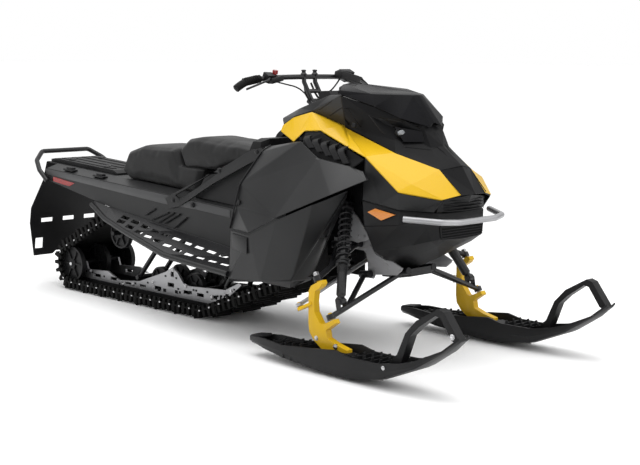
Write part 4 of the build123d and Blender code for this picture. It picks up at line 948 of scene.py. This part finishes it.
# steering: ball joint nuts, the bolts of the skis and the ribs of their decks
joints = {"foot": (0.8978, 0.448, 0.212), "head": (0.8219, 0.448, 0.352), "axis": (-0.4664, 0, 0.8846)}
skiBolts = [((1.244, 0.531, 0.087), 0.006, 0.004), ((1.519, 0.4775, 0.236), 0.008, 0.005),
            ((0.936, 0.4635, 0.104), 0.008, 0.006), ((0.832, 0.4635, 0.122), 0.007, 0.005)]
skiTeeth = {"at": (0.620, 0.662, 0.704, 0.746, 0.788, 1.082, 1.124, 1.166, 1.208), "foot": 0.070,
            "half": 0.058, "tail": 0.7, "tailShare": 0.72, "heel": (0.512, 0.082), "heelTilt": -0.12,
            "heelSize": (0.070, 0.062, 0.014),
            "crest": [(0.60, 0.082), (0.678, 0.088), (0.807, 0.098), (1.085, 0.106), (1.208, 0.106)]}
for side, hand in ((-1, "right"), (1, "left")):
    mesh = bmesh.new()
    for spot, way in (("foot", -1), ("head", 1)):
        x, y, z = joints[spot]
        lathe(mesh, [(0, 0.012), (0.012, 0.012), (0.012, 0.024), (0.009, 0.027), (0, 0.027)],
              placed((x, side * y, z), Vector(joints["axis"]) * way), 6)
    for (x, y, z), radius, height in skiBolts:
        boltAt(mesh, (x, side * y, z), (0, side, 0), radius, height)
    dress(mesh, hand + "SkiBolts", brightSteel, hand + "_ski")
    teeth = bmesh.new()
    middle = side * skis["middle"]
    for x in skiTeeth["at"]:
        top = heightAt(skiTeeth["crest"], x)
        half = skiTeeth["half"] * (skiTeeth["tailShare"] if x < skiTeeth["tail"] else 1.0)
        strip(teeth, [(x, middle - half, skiTeeth["foot"]), (x, middle + half, skiTeeth["foot"])],
              (0.002, 0, top - 0.008 - skiTeeth["foot"]), 0.004)
        for y in (-half * 0.8, 0, half * 0.8):
            wedgeAt(teeth, Matrix.Translation((x, middle + y, top - 0.014)), 0.008, 0.012, 0.016, 0.4)
    x, z = skiTeeth["heel"]
    heel = Matrix.Translation((x, middle, z)) @ Matrix.Rotation(skiTeeth["heelTilt"], 4, "Y")
    blockAt(teeth, skiTeeth["heelSize"], heel, 0.005)
    dress(teeth, hand + "SkiTeeth", plasticBlack, hand + "_ski")
print("stage: steering detailed")

# handlebar: bent tube with hooked grips on twin risers, controls and leads
bar = {"tube": [(0.277, -0.386, 1.066), (0.279, -0.362, 1.082), (0.284, -0.325, 1.098),
                (0.296, -0.240, 1.108), (0.309, -0.120, 1.112), (0.309, 0.120, 1.112),
                (0.296, 0.240, 1.108), (0.284, 0.325, 1.098), (0.279, 0.362, 1.082), (0.277, 0.386, 1.066)],
       "radius": 0.011, "grip": 0.0165, "gripFrom": (0.290, 0.268, 1.1055)}
risers = {"across": (-0.033, 0.033), "wide": 0.014, "lean": 0.55,
          "outline": [(0.303, 1.128), (0.318, 1.128), (0.321, 1.092), (0.360, 1.030), (0.386, 0.992),
                      (0.364, 0.992), (0.344, 1.026), (0.304, 1.088)],
          "cap": [(0, -0.006), (0.012, -0.006), (0.014, 0.004), (0.009, 0.010), (0.008, 0.014),
                  (0.011, 0.018), (0.009, 0.022), (0, 0.023)],
          "capAt": (0.310, 1.120), "stay": [(0.300, 0.6, 1.086), (0.318, 0.9, 1.040), (0.356, 1.0, 1.000)],
          "stayRadius": 0.0045,
          "bridges": [((0.054, 0.094, 0.020), (0.366, 0, 1.000), 0.005),
                      ((0.020, 0.066, 0.012), (0.340, 0, 1.052), 0.004)]}
rings = {"count": 7, "pitch": 0.010, "first": (0.290, 0.285, 1.1035), "drift": (-0.15, 1, -0.19),
         "along": (-0.12, -0.19), "section": [(0.0155, -0.0015), (0.0178, -0.0015), (0.0178, 0.0015),
                                              (0.0155, 0.0015), (0.0155, -0.0015)]}
controls = {"blocks": [((0.050, 0.125, 0.036), (0.330, 0.215, 1.108), -0.22, 0.008),
                       ((0.030, 0.060, 0.020), (0.330, 0.190, 1.128), -0.1, 0.005),
                       ((0.036, 0.070, 0.024), (0.318, -0.205, 1.102), 0.2, 0.006)],
            "lever": [(0.345, 0.180, 1.100), (0.372, 0.215, 1.086), (0.352, 0.330, 1.060)],
            "leverRadius": 0.005,
            "leads": [([(0.318, -0.205, 1.094), (0.322, -0.150, 1.082), (0.326, -0.085, 1.070),
                        (0.344, -0.052, 1.040), (0.366, -0.044, 1.005), (0.374, -0.040, 0.984)], 0.0030),
                      ([(0.330, 0.165, 1.100), (0.338, 0.120, 1.060), (0.346, 0.075, 1.044),
                        (0.362, 0.048, 1.020), (0.376, 0.040, 0.984)], 0.0034)]}
mesh = bmesh.new()
tubeInto(mesh, bar["tube"], bar["radius"], sides=5)
for y in risers["across"]:
    plate(mesh, [(x, y - risers["wide"] / 2, z) for x, z in risers["outline"]], (0, risers["wide"], 0),
          0.003)
    lathe(mesh, risers["cap"], placed((risers["capAt"][0], y, risers["capAt"][1]), (0, 0, 1)), 24)
    tubeInto(mesh, [(x, y * share, z) for x, share, z in risers["stay"]], risers["stayRadius"], order=2)
for size, at, rounding in risers["bridges"]:
    blockAt(mesh, size, Matrix.Translation(at) @ Matrix.Rotation(risers["lean"], 4, "Y"), rounding)
dress(mesh, "barAndRisers", blackCoat, "steering", ["handlebar"], crease=40)
mesh = bmesh.new()
for side in (-1, 1):
    path = [bar["gripFrom"]] + bar["tube"][7:]
    tubeInto(mesh, [(x, side * y, z) for x, y, z in path], bar["grip"], sides=5)
    for k in range(rings["count"]):         # finger rings
        out = k * rings["pitch"]
        x, y, z = Vector(rings["first"]) + out * Vector(rings["drift"])
        aim = (rings["along"][0], side, rings["along"][1])
        lathe(mesh, rings["section"], placed((x, side * y, z), aim), 24)
dress(mesh, "hookedGrips", trackRubber, "steering", ["grips"], crease=50)
mesh = bmesh.new()
for size, at, tilt, rounding in controls["blocks"]:
    blockAt(mesh, size, Matrix.Translation(at) @ Matrix.Rotation(tilt, 4, "X"), rounding)
tubeInto(mesh, controls["lever"], controls["leverRadius"])
dress(mesh, "barControls", plasticBlack, "steering")
mesh = bmesh.new()
for path, radius in controls["leads"]:
    tubeInto(mesh, path, radius)
dress(mesh, "barLeads", trackRubber, "steering", crease=50)
print("stage: handlebar detailed")

# seat: two stuffed pads under a tight vinyl cover
def stuffed(node, name, recipe):
    data = frame["nodes"][node].data.copy()
    pad = bpy.data.objects.new(name, data)
    bpy.context.collection.objects.link(pad)
    mesh = bmesh.new()
    mesh.from_mesh(data)
    bmesh.ops.remove_doubles(mesh, verts=mesh.verts, dist=0.00002)
    middle = sum((vert.co for vert in mesh.verts), Vector()) / len(mesh.verts)
    bmesh.ops.scale(mesh, vec=(recipe["start"],) * 3, verts=mesh.verts, space=Matrix.Translation(-middle))
    mesh.to_mesh(data)
    mesh.free()
    bpy.context.view_layer.objects.active = pad
    remesh = pad.modifiers.new("even", "REMESH")
    remesh.mode = "VOXEL"
    remesh.voxel_size = recipe["voxel"]
    bpy.ops.object.modifier_apply(modifier="even")
    rest = [vert.co.copy() for vert in pad.data.vertices]
    cloth = pad.modifiers.new("stuffing", "CLOTH")
    cloth.settings.use_pressure = True
    cloth.settings.uniform_pressure_force = recipe["pressure"]
    cloth.settings.effector_weights.gravity = 0
    cloth.settings.quality = 4
    cloth.settings.tension_stiffness = cloth.settings.compression_stiffness = recipe["cover stiffness"]
    cloth.settings.bending_stiffness = recipe["fold stiffness"]
    cloth.point_cache.frame_start, cloth.point_cache.frame_end = 1, recipe["frames"]
    for frameNumber in range(1, recipe["frames"] + 1):
        bpy.context.scene.frame_set(frameNumber)
    bpy.ops.object.modifier_apply(modifier="stuffing")
    bpy.context.scene.frame_set(1)
    mesh = bmesh.new()
    mesh.from_mesh(pad.data)
    mesh.verts.ensure_lookup_table()
    low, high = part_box(node)
    for vert, start in zip(mesh.verts, rest):
        move = vert.co - start
        vert.co = start + move.normalized() * min(move.length * recipe["tight"], recipe["most"])
        vert.co.z = min(vert.co.z, high[2] + 0.006)
    for _ in range(recipe["evened"]):
        bmesh.ops.smooth_vert(mesh, verts=mesh.verts, factor=0.5, use_axis_x=True, use_axis_y=True,
                              use_axis_z=True)
    mesh.to_mesh(pad.data)
    mesh.free()
    divided = pad.modifiers.new("fine", "SUBSURF")
    divided.levels = divided.render_levels = 1
    bpy.ops.object.modifier_apply(modifier="fine")
    for face in pad.data.polygons:
        face.use_smooth = True
    pad.data.materials.clear()
    pad.data.materials.append(recipe["cover"])
    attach(pad, "chassis")
    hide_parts(node)


padding = {"start": 0.992, "voxel": 0.006, "pressure": 4.0, "tight": 0.5, "evened": 3,
           "cover stiffness": 60, "fold stiffness": 8, "frames": 20, "cover": seatVinyl}
pads = {"seat": {**padding, "name": "seatPad", "most": 0.008, "fill": 0.8},
        "seat_rear": {**padding, "name": "seatBolster", "most": 0.006, "fill": 0.9}}
for node, recipe in pads.items():
    stuffed(node, recipe["name"], recipe)
print("stage: seat stuffed")

# studio: pale floor, soft lights, camera
studio = {"floor": 120.0, "floorColour": (0.95, 0.95, 0.95), "world": 1.0, "horizon": 0.45, "zenith": 1.45}
floorMesh = bmesh.new()
bmesh.ops.create_grid(floorMesh, x_segments=1, y_segments=1, size=studio["floor"])
floorData = bpy.data.meshes.new("studioFloor")
floorMesh.to_mesh(floorData)
floor = bpy.data.objects.new("studioFloor", floorData)
bpy.context.collection.objects.link(floor)
floorMaterial, _, floorShader = newMaterial("studioFloor")
floorShader.inputs["Base Color"].default_value = (*studio["floorColour"], 1)
floorShader.inputs["Roughness"].default_value = 0.9
floorData.materials.append(floorMaterial)

world = bpy.data.worlds.new("studioLight")
world.use_nodes = True
tree = world.node_tree
sky = tree.nodes["Background"]
sky.inputs["Color"].default_value = (1, 1, 1, 1)
heights = addNode(tree, "ShaderNodeSeparateXYZ")
tree.links.new(addNode(tree, "ShaderNodeTexCoord").outputs["Generated"], heights.inputs[0])
domed = spread(tree, heights.outputs["Z"], studio["horizon"], studio["zenith"], 0.0, 1.0)
seen = addNode(tree, "ShaderNodeMix", data_type="FLOAT")     # the backdrop itself stays even
tree.links.new(addNode(tree, "ShaderNodeLightPath").outputs["Is Camera Ray"], seen.inputs[0])
tree.links.new(domed, seen.inputs[2])
seen.inputs[3].default_value = studio["world"]
tree.links.new(seen.outputs[0], sky.inputs["Strength"])
bpy.context.scene.world = world

softBoxes = {
    "overhead": {"at": (0.2, -0.4, 4.2), "aim": (0, 0, 0.4), "size": (5.0, 3.0), "watts": 95},
    "frontLeft": {"at": (4.2, 1.8, 2.4), "aim": (0.8, 0, 0.5), "size": (2.4, 2.0), "watts": 30},
    "sideRight": {"at": (-0.8, -4.6, 2.6), "aim": (0, 0, 0.5), "size": (4.0, 1.6), "watts": 12}}
for boxName, box in softBoxes.items():
    light = bpy.data.lights.new(boxName, "AREA")
    light.shape = "RECTANGLE"
    light.size, light.size_y = box["size"]
    light.energy = box["watts"]
    holder = bpy.data.objects.new(boxName, light)
    holder.location = box["at"]
    holder.rotation_euler = (Vector(box["aim"]) - Vector(box["at"])).to_track_quat("-Z", "Y").to_euler()
    bpy.context.collection.objects.link(holder)

view = {"at": (4.39643, -3.98581, 1.21377), "azimuth": 45.24, "elevation": 7.71, "roll": 0.37,
        "lens": 74.46, "shift": (0.0012, -0.0007), "farthest": 200}
azimuth, elevation, roll = (math.radians(view[key]) for key in ("azimuth", "elevation", "roll"))
forward = Vector((-math.sin(azimuth) * math.cos(elevation), math.cos(azimuth) * math.cos(elevation),
                  -math.sin(elevation)))
level = Vector((math.cos(azimuth), math.sin(azimuth), 0))
upright = level.cross(forward)
cameraRight = level * math.cos(roll) + upright * math.sin(roll)
cameraUp = upright * math.cos(roll) - level * math.sin(roll)
cameraData = bpy.data.cameras.new("camera")
cameraData.lens = view["lens"]
cameraData.sensor_width = 36.0
cameraData.shift_x, cameraData.shift_y = view["shift"]
cameraData.clip_end = view["farthest"]
camera = bpy.data.objects.new("camera", cameraData)
turned = Matrix((cameraRight, cameraUp, -forward)).transposed().to_4x4()
camera.matrix_world = Matrix.Translation(view["at"]) @ turned
bpy.context.collection.objects.link(camera)
bpy.context.scene.camera = camera
print("stage: studio set")
